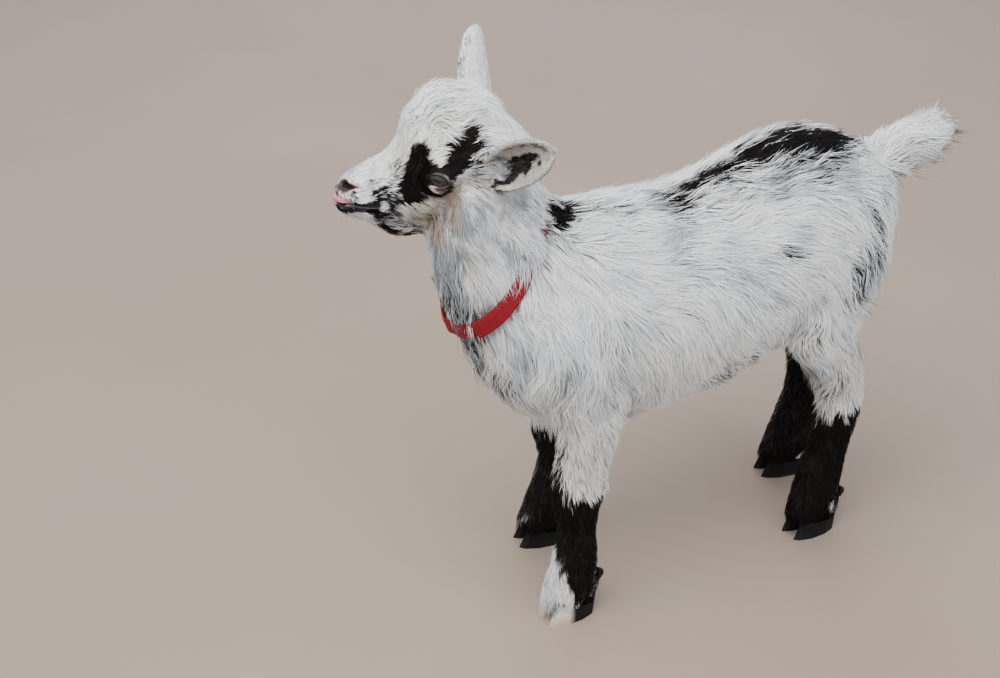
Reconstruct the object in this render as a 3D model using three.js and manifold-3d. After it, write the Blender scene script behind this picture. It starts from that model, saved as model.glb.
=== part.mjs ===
// A pygmy goat kid about three weeks old, standing square with its head turned to its right.
// Life size, in millimetres. +X is the kid's left, -Y is the way its body faces, +Z is up.
// The solids give the outside of the coat. The body is one form, parted into its named pieces:
// trunk, neck, head, ears, eyes, tongue, tail, four legs, eight claws, eight dewclaws and a collar.
import * as THREE from 'three';
import { mergeVertices } from 'three/addons/utils/BufferGeometryUtils.js';
import Module from 'manifold-3d';

const wasm = await Module();
wasm.setup();

// ---------------------------------------------------------------- driving sizes
const GAP = 0.35; // clearance left where two pieces meet
const LEFT = 1;
const RIGHT = -1;

const HEAD_AT = new THREE.Vector3(-30, -154.6, 294); // the point midway between the eyes
const HEAD_TURN = THREE.MathUtils.degToRad(-27.5); // to the kid's right
const HEAD_PITCH = THREE.MathUtils.degToRad(17); // nose down

const EYE = { across: 25.2, forward: -2.8, up: -0.6, radius: 9.4 };
const CLAW = { length: 34, width: 11.6, height: 17, spread: 6.1, slant: 5 };
const DEWCLAW = { across: 6.2, behind: 19, up: 27, radii: [3.4, 5, 4.4] };
const COLLAR = { width: 9, thickness: 1.8, sunk: 1.4, slack: 4.5 };
const EAR_THICK = 2.4;

// ---------------------------------------------------------------- meshes and solids

/** A closed skin over rings of points, with a point at each end that closes it. */
function skinOver(rings, start, end) {
  const around = rings[0].length;
  const positions = [start, ...rings.flat(), end].flatMap((p) => [p.x, p.y, p.z]);
  const index = [];
  const last = positions.length / 3 - 1;
  for (let i = 0; i < around; i++) {
    const next = (i + 1) % around;
    index.push(0, 1 + next, 1 + i);
    for (let r = 0; r < rings.length - 1; r++) {
      const a = 1 + r * around;
      const b = a + around;
      index.push(a + i, a + next, b + next, a + i, b + next, b + i);
    }
    const a = 1 + (rings.length - 1) * around;
    index.push(a + i, a + next, last);
  }
  return closed(positions, index);
}

/** A geometry of the points and faces given, its faces turned out where they pointed in. */
function closed(positions, index) {
  const geometry = new THREE.BufferGeometry();
  geometry.setAttribute('position', new THREE.Float32BufferAttribute(positions, 3));
  const p = geometry.getAttribute('position');
  const [a, b, c] = [new THREE.Vector3(), new THREE.Vector3(), new THREE.Vector3()];
  let volume = 0;
  for (let i = 0; i < index.length; i += 3) {
    a.fromBufferAttribute(p, index[i]);
    b.fromBufferAttribute(p, index[i + 1]);
    c.fromBufferAttribute(p, index[i + 2]);
    volume += a.dot(b.cross(c));
  }
  geometry.setIndex(volume < 0 ? index.reverse() : index);
  return geometry;
}

/** A smooth curve through one value of every station. */
function eased(stations, pick) {
  return new THREE.CatmullRomCurve3(stations.map((s) => new THREE.Vector3(...pick(s))), false, 'catmullrom', 0.5);
}

/**
 * A rounded limb through stations, each { at: [x, y, z], half: across, rear, fore, taper, pinch }.
 * rear and fore are the two depths of the section, square to the line and to X.
 * taper narrows the rear side of the section, and pinch the fore side.
 * upright keeps every section square to Y, whatever the line does.
 */
function limb(stations, { around, rings, grow = 0, tips = [4, 4], upright = false }) {
  const line = eased(stations, (s) => s.at);
  const size = eased(stations, (s) => [s.half, s.rear, s.fore]);
  const trim = eased(stations, (s) => [s.taper ?? 0, s.pinch ?? 0, 0]);
  const made = [];
  for (let r = 0; r < rings; r++) {
    const t = r / (rings - 1);
    const centre = line.getPoint(t);
    const along = upright ? new THREE.Vector3(0, 1, 0) : line.getTangent(t);
    const across = new THREE.Vector3(1, 0, 0).addScaledVector(along, -along.x).normalize();
    const up = new THREE.Vector3().crossVectors(across, along);
    const { x: half, y: rear, z: fore } = size.getPoint(t);
    const { x: taper, y: pinch } = trim.getPoint(t);
    made.push(Array.from({ length: around }, (_, i) => {
      const angle = (2 * Math.PI * i) / around;
      const [c, s] = [Math.cos(angle), Math.sin(angle)];
      const narrow = 1 - (s > 0 ? taper : pinch) * s * s;
      return centre.clone()
        .addScaledVector(across, c * (half * narrow + grow))
        .addScaledVector(up, s * ((s > 0 ? rear : fore) + grow));
    }));
  }
  const start = line.getPoint(0).addScaledVector(line.getTangent(0), -tips[0] - grow);
  const end = line.getPoint(1).addScaledVector(line.getTangent(1), tips[1] + grow);
  return skinOver(made, start, end);
}

/** Moves points near each brush { at, radius, push } by its push, most at its middle; both sides alike. */
function brushed(geometry, brushes) {
  const p = geometry.getAttribute('position');
  const v = new THREE.Vector3();
  for (let i = 0; i < p.count; i++) {
    v.fromBufferAttribute(p, i);
    const moved = v.clone();
    const side = v.x < 0 ? -1 : 1;
    for (const { at, radius, push } of brushes) {
      const reach = Math.hypot(v.x * side - at[0], v.y - at[1], v.z - at[2]) / radius;
      const share = reach < 1 ? (1 - reach * reach) ** 2 : 0;
      moved.add(new THREE.Vector3(push[0] * side, push[1], push[2]).multiplyScalar(share));
    }
    p.setXYZ(i, moved.x, moved.y, moved.z);
  }
  return geometry;
}

/** A rounded ball with three radii. */
function ball(radii, [around, rings], at = [0, 0, 0]) {
  return new THREE.SphereGeometry(1, around, rings).scale(...radii).translate(...at);
}

/** The geometry as a solid, moved by a matrix where one is given. */
function solid(geometry, matrix) {
  const bare = geometry.clone();
  bare.deleteAttribute('normal');
  bare.deleteAttribute('uv');
  if (matrix) bare.applyMatrix4(matrix);
  const merged = mergeVertices(bare, 1e-3);
  return new wasm.Manifold(new wasm.Mesh({
    numProp: 3,
    vertProperties: merged.getAttribute('position').array,
    triVerts: new Uint32Array(merged.getIndex().array),
  }));
}

/** The solid with the tools cut away; where that leaves crumbs, its largest body. */
function cut(piece, ...tools) {
  const left = tools.reduce((rest, tool) => rest.subtract(tool), piece);
  return left.decompose().reduce((a, b) => (b.volume() > a.volume() ? b : a));
}

/** The solid's faces as a geometry. */
function shell(made) {
  const mesh = made.getMesh();
  const geometry = new THREE.BufferGeometry();
  geometry.setAttribute('position', new THREE.Float32BufferAttribute(mesh.vertProperties, 3));
  geometry.setIndex(new THREE.BufferAttribute(mesh.triVerts, 1));
  return geometry;
}

// ---------------------------------------------------------------- trunk, neck and tail

// Sections from the chest to the rump: where, top, bottom and half the width.
const TRUNK = [
  { y: -146, top: 206, bottom: 166, half: 22 },
  { y: -137, top: 233, bottom: 149, half: 38 },
  { y: -118, top: 257, bottom: 131, half: 49 },
  { y: -90, top: 268, bottom: 118, half: 53 },
  { y: -58, top: 269, bottom: 113, half: 55 },
  { y: -28, top: 265, bottom: 116, half: 58 },
  { y: 2, top: 267, bottom: 119, half: 60 },
  { y: 32, top: 277, bottom: 127, half: 59 },
  { y: 62, top: 286, bottom: 142, half: 56 },
  { y: 92, top: 284, bottom: 158, half: 52 },
  { y: 116, top: 271, bottom: 174, half: 46 },
  { y: 134, top: 259, bottom: 190, half: 36 },
  { y: 145, top: 244, bottom: 206, half: 22 },
];
const WIDEST = 0.46; // how far up a section is widest

function trunkShape(grow = 0) {
  const stations = TRUNK.map(({ y, top, bottom, half }) => {
    const middle = bottom + WIDEST * (top - bottom);
    return { at: [0, y, middle], half, rear: top - middle, fore: middle - bottom, taper: 0.18, pinch: 0.12 };
  });
  return limb(stations, { around: 22, rings: 20, grow, tips: [4, 5], upright: true });
}

// From inside the chest up to the back of the skull. rear is the throat's side, fore the nape's.
const NECK = [
  { at: [0, -94, 194], half: 46, rear: 55, fore: 50 },
  { at: [-2, -111, 216], half: 44, rear: 54, fore: 50 },
  { at: [-6, -125, 240], half: 40, rear: 47, fore: 46 },
  { at: [-12, -133, 262], half: 36.5, rear: 39, fore: 41 },
  { at: [-17, -139, 284], half: 32, rear: 30, fore: 36 },
];

function neckShape(grow = 0) {
  return limb(NECK, { around: 20, rings: 9, grow, tips: [3, 3] });
}

// From inside the rump up to the brush of hair at its end. rear is its upper side.
const TAIL = [
  { at: [0, 126, 243], half: 17, rear: 20, fore: 20, pinch: 0.3 },
  { at: [0, 146, 250], half: 15, rear: 17, fore: 22, pinch: 0.35 },
  { at: [1, 165, 257], half: 16, rear: 17, fore: 25, pinch: 0.35 },
  { at: [2, 181, 262], half: 15, rear: 16, fore: 22, pinch: 0.35 },
  { at: [3, 192, 268], half: 9, rear: 12, fore: 13, pinch: 0.3 },
];

function tailShape(grow = 0) {
  return limb(TAIL, { around: 14, rings: 9, grow, tips: [3, 6] });
}

// ---------------------------------------------------------------- legs

// The line each leg follows, joint by joint, down to the middle of its foot.
const JOINTS = {
  front_left: {
    side: LEFT, toeOut: 5,
    top: [22, -84, 232], shoulder: [38, -95, 202], elbow: [40.5, -92, 146], knee: [39, -97, 92],
    cannon: [38, -97, 62], fetlock: [37.5, -99, 36], foot: [37, -103, 12],
  },
  front_right: {
    side: RIGHT, toeOut: 8,
    top: [-22, -82, 232], shoulder: [-38, -91, 202], elbow: [-41, -77, 146], knee: [-41, -69, 92],
    cannon: [-41.5, -67, 62], fetlock: [-42, -72, 36], foot: [-43, -78, 12],
  },
  hind_left: {
    side: LEFT, toeOut: 4,
    top: [22, 92, 252], shoulder: [36, 91, 214], elbow: [41, 80, 164], knee: [36, 101, 106],
    cannon: [33.5, 97, 66], fetlock: [32, 92, 38], foot: [31, 89, 12],
  },
  hind_right: {
    side: RIGHT, toeOut: 9,
    top: [-22, 93, 252], shoulder: [-36, 93, 214], elbow: [-41, 88, 164], knee: [-38.5, 130, 104],
    cannon: [-39, 131, 66], fetlock: [-39.5, 124, 38], foot: [-40, 116, 12],
  },
};

// Sections down a leg: which joint, how far on to the next one, and the size. rear is the back of the leg.
const FRONT_LEG = [
  { joint: 'top', on: 0, half: 12, rear: 18, fore: 18 },
  { joint: 'shoulder', on: 0, half: 19, rear: 31, fore: 29 },
  { joint: 'shoulder', on: 0.55, half: 19, rear: 31, fore: 29 },
  { joint: 'elbow', on: 0, half: 17.5, rear: 27, fore: 23 },
  { joint: 'elbow', on: 0.5, half: 15.5, rear: 19.5, fore: 18.5 },
  { joint: 'knee', on: 0, half: 15.5, rear: 19.5, fore: 19.5 },
  { joint: 'knee', on: 0.5, half: 13.2, rear: 15, fore: 15.5 },
  { joint: 'cannon', on: 0, half: 11.6, rear: 13.6, fore: 13.4 },
  { joint: 'fetlock', on: 0, half: 12.6, rear: 18.5, fore: 17 },
  { joint: 'foot', on: 0, half: 13, rear: 20, fore: 19 },
];
const HIND_LEG = [
  { joint: 'top', on: 0, half: 12, rear: 20, fore: 22 },
  { joint: 'shoulder', on: 0, half: 20, rear: 37, fore: 38 },
  { joint: 'shoulder', on: 0.5, half: 20, rear: 34, fore: 40 },
  { joint: 'elbow', on: 0, half: 18, rear: 26, fore: 33 },
  { joint: 'elbow', on: 0.5, half: 15, rear: 20, fore: 22 },
  { joint: 'knee', on: 0, half: 14.5, rear: 18.5, fore: 18 },
  { joint: 'knee', on: 0.5, half: 13.2, rear: 17.5, fore: 16.5 },
  { joint: 'cannon', on: 0, half: 12.4, rear: 16, fore: 15.5 },
  { joint: 'fetlock', on: 0, half: 13, rear: 19.5, fore: 18.5 },
  { joint: 'foot', on: 0, half: 13, rear: 20, fore: 20 },
];
const ORDER = ['top', 'shoulder', 'elbow', 'knee', 'cannon', 'fetlock', 'foot'];

function legShape(name, grow = 0) {
  const joints = JOINTS[name];
  const sections = name.startsWith('front') ? FRONT_LEG : HIND_LEG;
  const stations = sections.map(({ joint, on, ...size }) => {
    const next = ORDER[Math.min(ORDER.indexOf(joint) + 1, ORDER.length - 1)];
    const at = joints[joint].map((value, k) => THREE.MathUtils.lerp(value, joints[next][k], on));
    return { at, ...size };
  });
  return limb(stations, { around: 12, rings: 17, grow, tips: [3, 2] });
}

/** One claw of a cloven hoof, sole on the floor, toe forward. */
function clawShape(inner) {
  const { length, width, height, slant } = CLAW;
  const rings = [0, 0.35, 1].map((level) => Array.from({ length: 10 }, (_, i) => {
    const angle = (2 * Math.PI * (i + 0.5)) / 10;
    const [c, s] = [Math.cos(angle), Math.sin(angle)];
    const wide = (width / 2) * (1 - 0.14 * level) * (1 - 0.28 * Math.max(0, -s) ** 3);
    const flat = c * inner > 0 ? 0.85 : 1; // flatter where the two claws face
    return new THREE.Vector3(c * wide * flat, s * (length / 2) * (1 - 0.16 * level) + slant * level, level * height);
  }));
  return skinOver(rings, new THREE.Vector3(0, 0, 0), new THREE.Vector3(0, slant, height + 1));
}

/** Where a foot stands, and which way it points. */
function footMatrix(name) {
  const { side, toeOut, foot } = JOINTS[name];
  const turn = new THREE.Matrix4().makeRotationZ(THREE.MathUtils.degToRad(side * toeOut));
  return turn.setPosition(foot[0], foot[1], 0);
}

// ---------------------------------------------------------------- head

// Sections from the back of the skull to the lips, along the head's own line, +forward.
const HEAD = [
  { forward: -54, top: -4, bottom: -24, half: 14 },
  { forward: -45, top: 12, bottom: -30, half: 26 },
  { forward: -34, top: 27, bottom: -36, half: 32 },
  { forward: -22, top: 37, bottom: -40, half: 34 },
  { forward: -10, top: 40, bottom: -42.5, half: 34.5 },
  { forward: 1, top: 39.5, bottom: -43.5, half: 33 },
  { forward: 9, top: 34.8, bottom: -43.5, half: 29.5 },
  { forward: 17, top: 23.6, bottom: -43, half: 25.5 },
  { forward: 25, top: 16, bottom: -42, half: 22 },
  { forward: 34, top: 12.8, bottom: -39.5, half: 19.5 },
  { forward: 42, top: 11.2, bottom: -35.5, half: 17.6 },
  { forward: 48, top: 9.8, bottom: -27.5, half: 16.4 },
  { forward: 54, top: 7.8, bottom: -22, half: 15.6 },
  { forward: 60, top: 4.4, bottom: -18, half: 13.8 },
  { forward: 63.6, top: 0.6, bottom: -14, half: 10 },
];
const HEAD_WIDEST = 0.5;

// Brow, eye hollow, cheekbone, jaw, bridge, lip and nostril, on the left; the right is alike.
const HEAD_FORM = [
  { at: [30, 5, 12], radius: 14, push: [2.6, 0, 1.2] },
  { at: [30, -9, 2], radius: 13, push: [-2.8, 0, 0] },
  { at: [27, -14, -12], radius: 14, push: [1.6, 0, 0] },
  { at: [18, -28, 6], radius: 14, push: [-2.4, 0, 0] },
  { at: [24, 2, -32], radius: 20, push: [1.8, 0, 0.6] },
  { at: [16, -50, -2], radius: 9, push: [1.2, 0, 0.4] },
  { at: [10, -60, 1], radius: 5.5, push: [-1.4, 1.4, 0] },
];

function headShape(grow = 0) {
  const stations = HEAD.map(({ forward, top, bottom, half }) => {
    const middle = bottom + HEAD_WIDEST * (top - bottom);
    const taper = THREE.MathUtils.lerp(-0.14, 0.16, THREE.MathUtils.smoothstep(forward, 0, 30)); // broad crown, narrow bridge
    return { at: [0, -forward, middle], half, rear: top - middle, fore: middle - bottom, taper, pinch: 0.26 };
  }).reverse();
  return brushed(limb(stations, { around: 22, rings: 22, grow, tips: [2, 4], upright: true }), HEAD_FORM);
}

/** The ears, on the head's own axes: where one starts and ends, and the way its cup faces. */
const EARS = {
  ear_left: { base: [31, 31, -5], tip: [62.5, 62.5, 10], open: [0.65, -0.74, 0.14] },
  ear_right: { base: [-31, 23.5, 0], tip: [-67, 29.5, 47.5], open: [-0.35, -0.92, -0.15] },
};
// Up the ear: how far, the roll's radius, and half the angle it closes over.
const EAR_ROLL = [
  { up: 0, radius: 9, wrap: 140 },
  { up: 0.18, radius: 11, wrap: 115 },
  { up: 0.4, radius: 13, wrap: 88 },
  { up: 0.62, radius: 13.6, wrap: 74 },
  { up: 0.82, radius: 12.6, wrap: 62 },
  { up: 0.94, radius: 10.4, wrap: 50 },
  { up: 1, radius: 7.5, wrap: 34 },
];

/** A leaf rolled into a cup. */
function earShape({ base, tip, open }) {
  const root = new THREE.Vector3(...base);
  const along = new THREE.Vector3(...tip).sub(root);
  const length = along.length();
  along.normalize();
  const face = new THREE.Vector3(...open);
  face.addScaledVector(along, -along.dot(face)).normalize();
  const wide = new THREE.Vector3().crossVectors(along, face);
  const roll = eased(EAR_ROLL, (s) => [s.up, s.radius, s.wrap]);
  const [steps, levels] = [6, 8];
  const rings = Array.from({ length: levels + 1 }, (_, r) => {
    const { x: up, y: radius, z: wrap } = roll.getPoint(r / levels);
    const centre = root.clone().addScaledVector(along, up * length).addScaledVector(face, radius - 10);
    const point = (angle, reach) => centre.clone()
      .addScaledVector(wide, Math.sin(angle) * reach)
      .addScaledVector(face, -Math.cos(angle) * reach);
    const angles = Array.from({ length: steps + 1 }, (_, i) => THREE.MathUtils.degToRad(wrap * ((2 * i) / steps - 1)));
    const outside = angles.map((a) => point(a, radius));
    const inside = angles.map((a) => point(a * 0.97, radius - EAR_THICK)).reverse();
    return [...outside, ...inside];
  });
  const middleOf = (ring) => ring[steps / 2].clone().lerp(ring[ring.length - 1 - steps / 2], 0.5);
  return skinOver(rings, middleOf(rings[0]), middleOf(rings[levels]).addScaledVector(along, 1.5));
}

/** Where the head sits on the neck. */
function headMatrix() {
  const turned = new THREE.Euler(HEAD_PITCH, 0, HEAD_TURN, 'ZYX');
  return new THREE.Matrix4().makeRotationFromEuler(turned).setPosition(HEAD_AT);
}

function eyeShape(side, grow = 0) {
  const r = EYE.radius + grow;
  return ball([r, r, r], [12, 9], [side * EYE.across, -EYE.forward, EYE.up]);
}

// The tongue's tip lies between the lips, to the left of their middle.
const TONGUE = { at: [4.5, -57.6, -4], radii: [9, 7.2, 1.9] };
const LIPS = { at: [0, -51.6, -6.3], rise: THREE.MathUtils.degToRad(-18.5), long: 25, gap: 0.8 };

function tongueShape(grow = 0) {
  const [x, y, z] = TONGUE.at;
  return ball(TONGUE.radii.map((r) => r + grow), [10, 6]).rotateX(LIPS.rise).translate(x, y, z);
}

/** The slit between the lips, from the front back to the corners of the mouth. */
function lipSlit() {
  return new THREE.BoxGeometry(60, LIPS.long, LIPS.gap).rotateX(LIPS.rise).translate(...LIPS.at);
}

// ---------------------------------------------------------------- collar

// The collar's plane: a point in it, and how far its axis leans forward from upright.
const COLLAR_AT = new THREE.Vector3(-6, -129, 241.7);
const COLLAR_LEAN = THREE.MathUtils.degToRad(54);

const COLLAR_AXIS = new THREE.Vector3(0, -Math.sin(COLLAR_LEAN), Math.cos(COLLAR_LEAN));

/** How far the body reaches from the collar's middle, in 36 directions, at a height along its axis. */
function girth(body, height) {
  const across = new THREE.Vector3(1, 0, 0);
  const deep = new THREE.Vector3().crossVectors(COLLAR_AXIS, across);
  const middle = COLLAR_AT.clone().addScaledVector(COLLAR_AXIS, height);
  const mesh = new THREE.Mesh(body, new THREE.MeshBasicMaterial({ side: THREE.DoubleSide }));
  return Array.from({ length: 36 }, (_, i) => {
    const angle = (2 * Math.PI * i) / 36;
    const out = across.clone().multiplyScalar(Math.cos(angle)).addScaledVector(deep, Math.sin(angle));
    const from = middle.clone().addScaledVector(out, 120);
    const hit = new THREE.Raycaster(from, out.clone().negate()).intersectObject(mesh)[0];
    const hang = COLLAR.slack * Math.max(0, -Math.sin(angle)) ** 6; // it hangs loose at the throat
    return { middle, out, reach: 120 - hit.distance + hang };
  });
}

/** The flat band that follows the body's girth, sunk a little in its coat. */
function collarShape(body, grow = 0, proud = 0) {
  const outer = -COLLAR.sunk + grow + proud;
  const inner = -COLLAR.sunk - COLLAR.thickness - grow;
  const [low, high] = [-1, 1].map((edge) => girth(body, (edge * COLLAR.width) / 2));
  const at = ({ middle, out, reach }, off, edge) => middle.clone()
    .addScaledVector(out, reach + off)
    .addScaledVector(COLLAR_AXIS, edge * grow);
  const positions = low.flatMap((l, i) =>
    [at(l, inner, -1), at(l, outer, -1), at(high[i], outer, 1), at(high[i], inner, 1)]
      .flatMap((p) => [p.x, p.y, p.z]));
  const index = low.flatMap((_, i) => {
    const [a, b] = [i * 4, ((i + 1) % low.length) * 4];
    return [0, 1, 2, 3].flatMap((k) => {
      const next = (k + 1) % 4;
      return [a + k, a + next, b + next, a + k, b + next, b + k];
    });
  });
  return closed(positions, index);
}

// ---------------------------------------------------------------- the kid

const white = new THREE.MeshStandardMaterial({ color: 0xe9e7e2, roughness: 0.9 });
const black = new THREE.MeshStandardMaterial({ color: 0x17130f, roughness: 0.85 });
const horn = new THREE.MeshStandardMaterial({ color: 0x2a2622, roughness: 0.5 });
const paleHorn = new THREE.MeshStandardMaterial({ color: 0xcfc6b4, roughness: 0.55 });
const wet = new THREE.MeshStandardMaterial({ color: 0x3b4450, roughness: 0.08 });
const pink = new THREE.MeshStandardMaterial({ color: 0xd9848c, roughness: 0.4 });
const red = new THREE.MeshStandardMaterial({ color: 0xb00d18, roughness: 0.7 });

const kid = new THREE.Group();

function add(name, geometry, material, parent = kid) {
  const mesh = new THREE.Mesh(geometry, material);
  mesh.name = name;
  parent.add(mesh);
}

const legNames = Object.keys(JOINTS);
const grownLegs = legNames.map((name) => solid(legShape(name, GAP)));
const grownTrunk = solid(trunkShape(GAP));
const grownHead = solid(headShape(2 * GAP), headMatrix());
const forequarters = shell(solid(trunkShape()).add(solid(neckShape())).add(solid(headShape(), headMatrix())));
const groove = solid(collarShape(forequarters, GAP, 12));

add('trunk', shell(cut(solid(trunkShape()), groove, ...grownLegs)), white);
add('neck', shell(cut(solid(neckShape()), grownTrunk, grownHead, groove, ...grownLegs)), white);
add('tail', shell(cut(solid(tailShape()), grownTrunk)), white);
add('collar', collarShape(forequarters), red);

for (const name of legNames) {
  const { side } = JOINTS[name];
  const foot = footMatrix(name);
  const grown = solid(legShape(name, GAP));
  const hoofRoom = solid(new THREE.BoxGeometry(70, 70, 24).translate(0, 0, 0), foot);
  add('leg_' + name, shell(cut(solid(legShape(name)), hoofRoom, groove)), side === LEFT ? white : black);
  for (const turn of [LEFT, RIGHT]) {
    const place = turn === side ? 'outer' : 'inner';
    const claw = solid(clawShape(-turn).translate(turn * CLAW.spread, 0, 0), foot);
    add(`hoof_${name}_${place}`, shell(cut(claw, grown)), name === 'front_left' ? paleHorn : horn);
    const { across, behind, up, radii } = DEWCLAW;
    const dewclaw = solid(ball(radii, [6, 5], [turn * across, behind, up]), foot);
    add(`dewclaw_${name}_${place}`, shell(cut(dewclaw, grown)), horn);
  }
}

const at = headMatrix();
const sockets = [LEFT, RIGHT].map((side) => solid(eyeShape(side, GAP), at));
const mouth = [tongueShape(GAP), lipSlit()].map((tool) => solid(tool, at));
add('head', shell(cut(solid(headShape(), at), ...sockets, ...mouth, groove)), white);
add('eye_left', eyeShape(LEFT).applyMatrix4(at), wet);
add('eye_right', eyeShape(RIGHT).applyMatrix4(at), wet);
add('tongue', tongueShape().applyMatrix4(at), pink);
for (const [name, ear] of Object.entries(EARS)) {
  add(name, shell(cut(solid(earShape(ear), at), solid(headShape(GAP), at))), white);
}

// The frame: the floor is z = 0, and the origin is under the middle of the kid's outside.
kid.updateMatrixWorld(true);
const middle = new THREE.Box3().setFromObject(kid, true).getCenter(new THREE.Vector3());
kid.position.set(-middle.x, -middle.y, 0);
const placed = new THREE.Group().add(kid);

export default placed;
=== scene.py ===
"""A pygmy goat kid as a life-size museum model: skin, coat, eyes, hooves and neck band.

Lengths inside the classes are millimetres in the modeller's own axes (+X the kid's left, -Y the way its
body faces, +Z up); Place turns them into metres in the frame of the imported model.
"""

from __future__ import annotations

import logging
import math
from dataclasses import dataclass, field
from enum import IntEnum
from typing import Any

import bmesh
import bpy
import numpy as np
from bpy.types import Material, Mesh, Node, NodeSocket, NodeTree, Object
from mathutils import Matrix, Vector
from mathutils.bvhtree import BVHTree
from mathutils.kdtree import KDTree

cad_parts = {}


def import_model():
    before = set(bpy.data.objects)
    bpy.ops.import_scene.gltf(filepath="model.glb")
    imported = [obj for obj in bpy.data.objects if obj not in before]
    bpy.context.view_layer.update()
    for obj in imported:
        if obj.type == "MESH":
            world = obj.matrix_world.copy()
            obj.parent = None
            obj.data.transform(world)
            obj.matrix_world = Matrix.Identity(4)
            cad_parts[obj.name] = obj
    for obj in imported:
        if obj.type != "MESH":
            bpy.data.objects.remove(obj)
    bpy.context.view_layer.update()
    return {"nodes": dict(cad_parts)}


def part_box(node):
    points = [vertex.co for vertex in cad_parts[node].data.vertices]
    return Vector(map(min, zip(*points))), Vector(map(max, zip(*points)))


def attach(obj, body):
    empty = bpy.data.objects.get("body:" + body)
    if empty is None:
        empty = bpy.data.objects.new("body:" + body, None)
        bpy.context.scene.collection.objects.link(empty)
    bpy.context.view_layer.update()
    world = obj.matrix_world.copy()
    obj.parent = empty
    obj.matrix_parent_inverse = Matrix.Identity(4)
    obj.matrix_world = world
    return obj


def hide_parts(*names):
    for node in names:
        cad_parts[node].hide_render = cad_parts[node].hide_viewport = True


Array = np.ndarray
Draw = np.random.Generator
Triple = tuple[float, float, float]
LOG = logging.getLogger("goat_kid")
METRE = 1000.0
SEED = 20


# ---- small helpers


def linear(code: str) -> tuple[float, float, float, float]:
    """Turns an sRGB hex colour into linear light.

    Args:
        code: Colour such as "C8C2B8".

    Returns:
        Linear red, green, blue, and an alpha of one.
    """
    parts = [int(code[i : i + 2], 16) / 255 for i in (0, 2, 4)]
    lit = [c / 12.92 if c <= 0.04045 else ((c + 0.055) / 1.055) ** 2.4 for c in parts]
    return (lit[0], lit[1], lit[2], 1.0)


def plug(tree: NodeTree, target: Node, inputs: dict[Any, Any]) -> None:
    """Sets or links the inputs of a node.

    Args:
        tree: The node tree.
        target: The node.
        inputs: By name or number: a value, a hex colour, an output, or a node for its first one in use.
    """
    for key, value in inputs.items():
        socket = target.inputs[key]
        if isinstance(value, Node):
            value = next(output for output in value.outputs if output.enabled)
        if isinstance(value, NodeSocket):
            tree.links.new(value, socket)
        else:
            hexed = socket.type == "RGBA" and isinstance(value, str)
            socket.default_value = linear(value) if hexed else value


def node(tree: NodeTree, kind: str, inputs: Any = None, stops: Any = (), **settings: Any) -> Node:
    """Adds one node with its settings, values and links.

    Args:
        tree: The node tree.
        kind: The node's own identifier, and its operation after a colon.
        inputs: What plug takes, or the inputs in order.
        stops: Places and hex colours of a ramp.
        **settings: Properties of the node.

    Returns:
        The new node.
    """
    kind, _, operation = kind.partition(":")
    made = tree.nodes.new(kind)
    if operation:
        made.operation = operation
    for name, value in settings.items():
        setattr(made, name, value)
    for _ in stops[2:]:
        made.color_ramp.elements.new(0.5)
    for number, (place, code) in enumerate(stops):
        element = made.color_ramp.elements[number]
        element.position, element.color = place, linear(code)
    plug(tree, made, inputs if isinstance(inputs, dict) else dict(enumerate(inputs or ())))
    return made


def ramp(x: Array, low: float, high: float) -> Array:
    """Smooth step from 0 at low to 1 at high; low may be the larger."""
    t = np.clip((x - low) / (high - low), 0.0, 1.0)
    return t * t * (3 - 2 * t)


def unit(v: Array) -> Array:
    """Vectors scaled to length one."""
    return v / np.maximum(np.linalg.norm(v, axis=-1, keepdims=True), 1e-9)


def dot(a: Array, b: Array) -> Array:
    """Row by row dot product."""
    return (a * b).sum(-1)


def curve(x: Array, *stops: tuple[float, float]) -> Array:
    """A value read off a line through (x, value) stops, in rising order of x."""
    return np.interp(x, [s[0] for s in stops], [s[1] for s in stops])


def bell(x: Array, middle: float, width: Any) -> Array:
    """A bell curve of height one."""
    return np.exp(-(((x - middle) / width) ** 2))


def rows_of(*columns: Any) -> Array:
    """Rows from columns, each an array or one number."""
    return np.stack(np.broadcast_arrays(*columns), axis=-1)


def blank(*shape: int) -> Any:
    """The default of an array that is filled in later."""
    return field(default_factory=lambda: np.zeros(shape))


class Waves:
    """Smooth, seeded variation over space, made of crossed sine waves."""

    def __init__(self, seed: int, size: float, count: int = 14) -> None:
        """Draws the waves.

        Args:
            seed: Seed of the draw.
            size: Typical wavelength in millimetres.
            count: How many waves are crossed.
        """
        rng = np.random.default_rng(seed)
        turn = 2 * np.pi / (size * rng.uniform(0.6, 1.7, (count, 1)))
        self.waves = unit(rng.normal(size=(count, 3))) * turn
        self.phase = rng.uniform(0, 2 * np.pi, count)
        self.scale = math.sqrt(2.0 / count)

    def __call__(self, points: Array) -> Array:
        """Values of about -1.5 to 1.5, one for each point."""
        return np.sin(points @ self.waves.T + self.phase).sum(1) * self.scale


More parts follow.
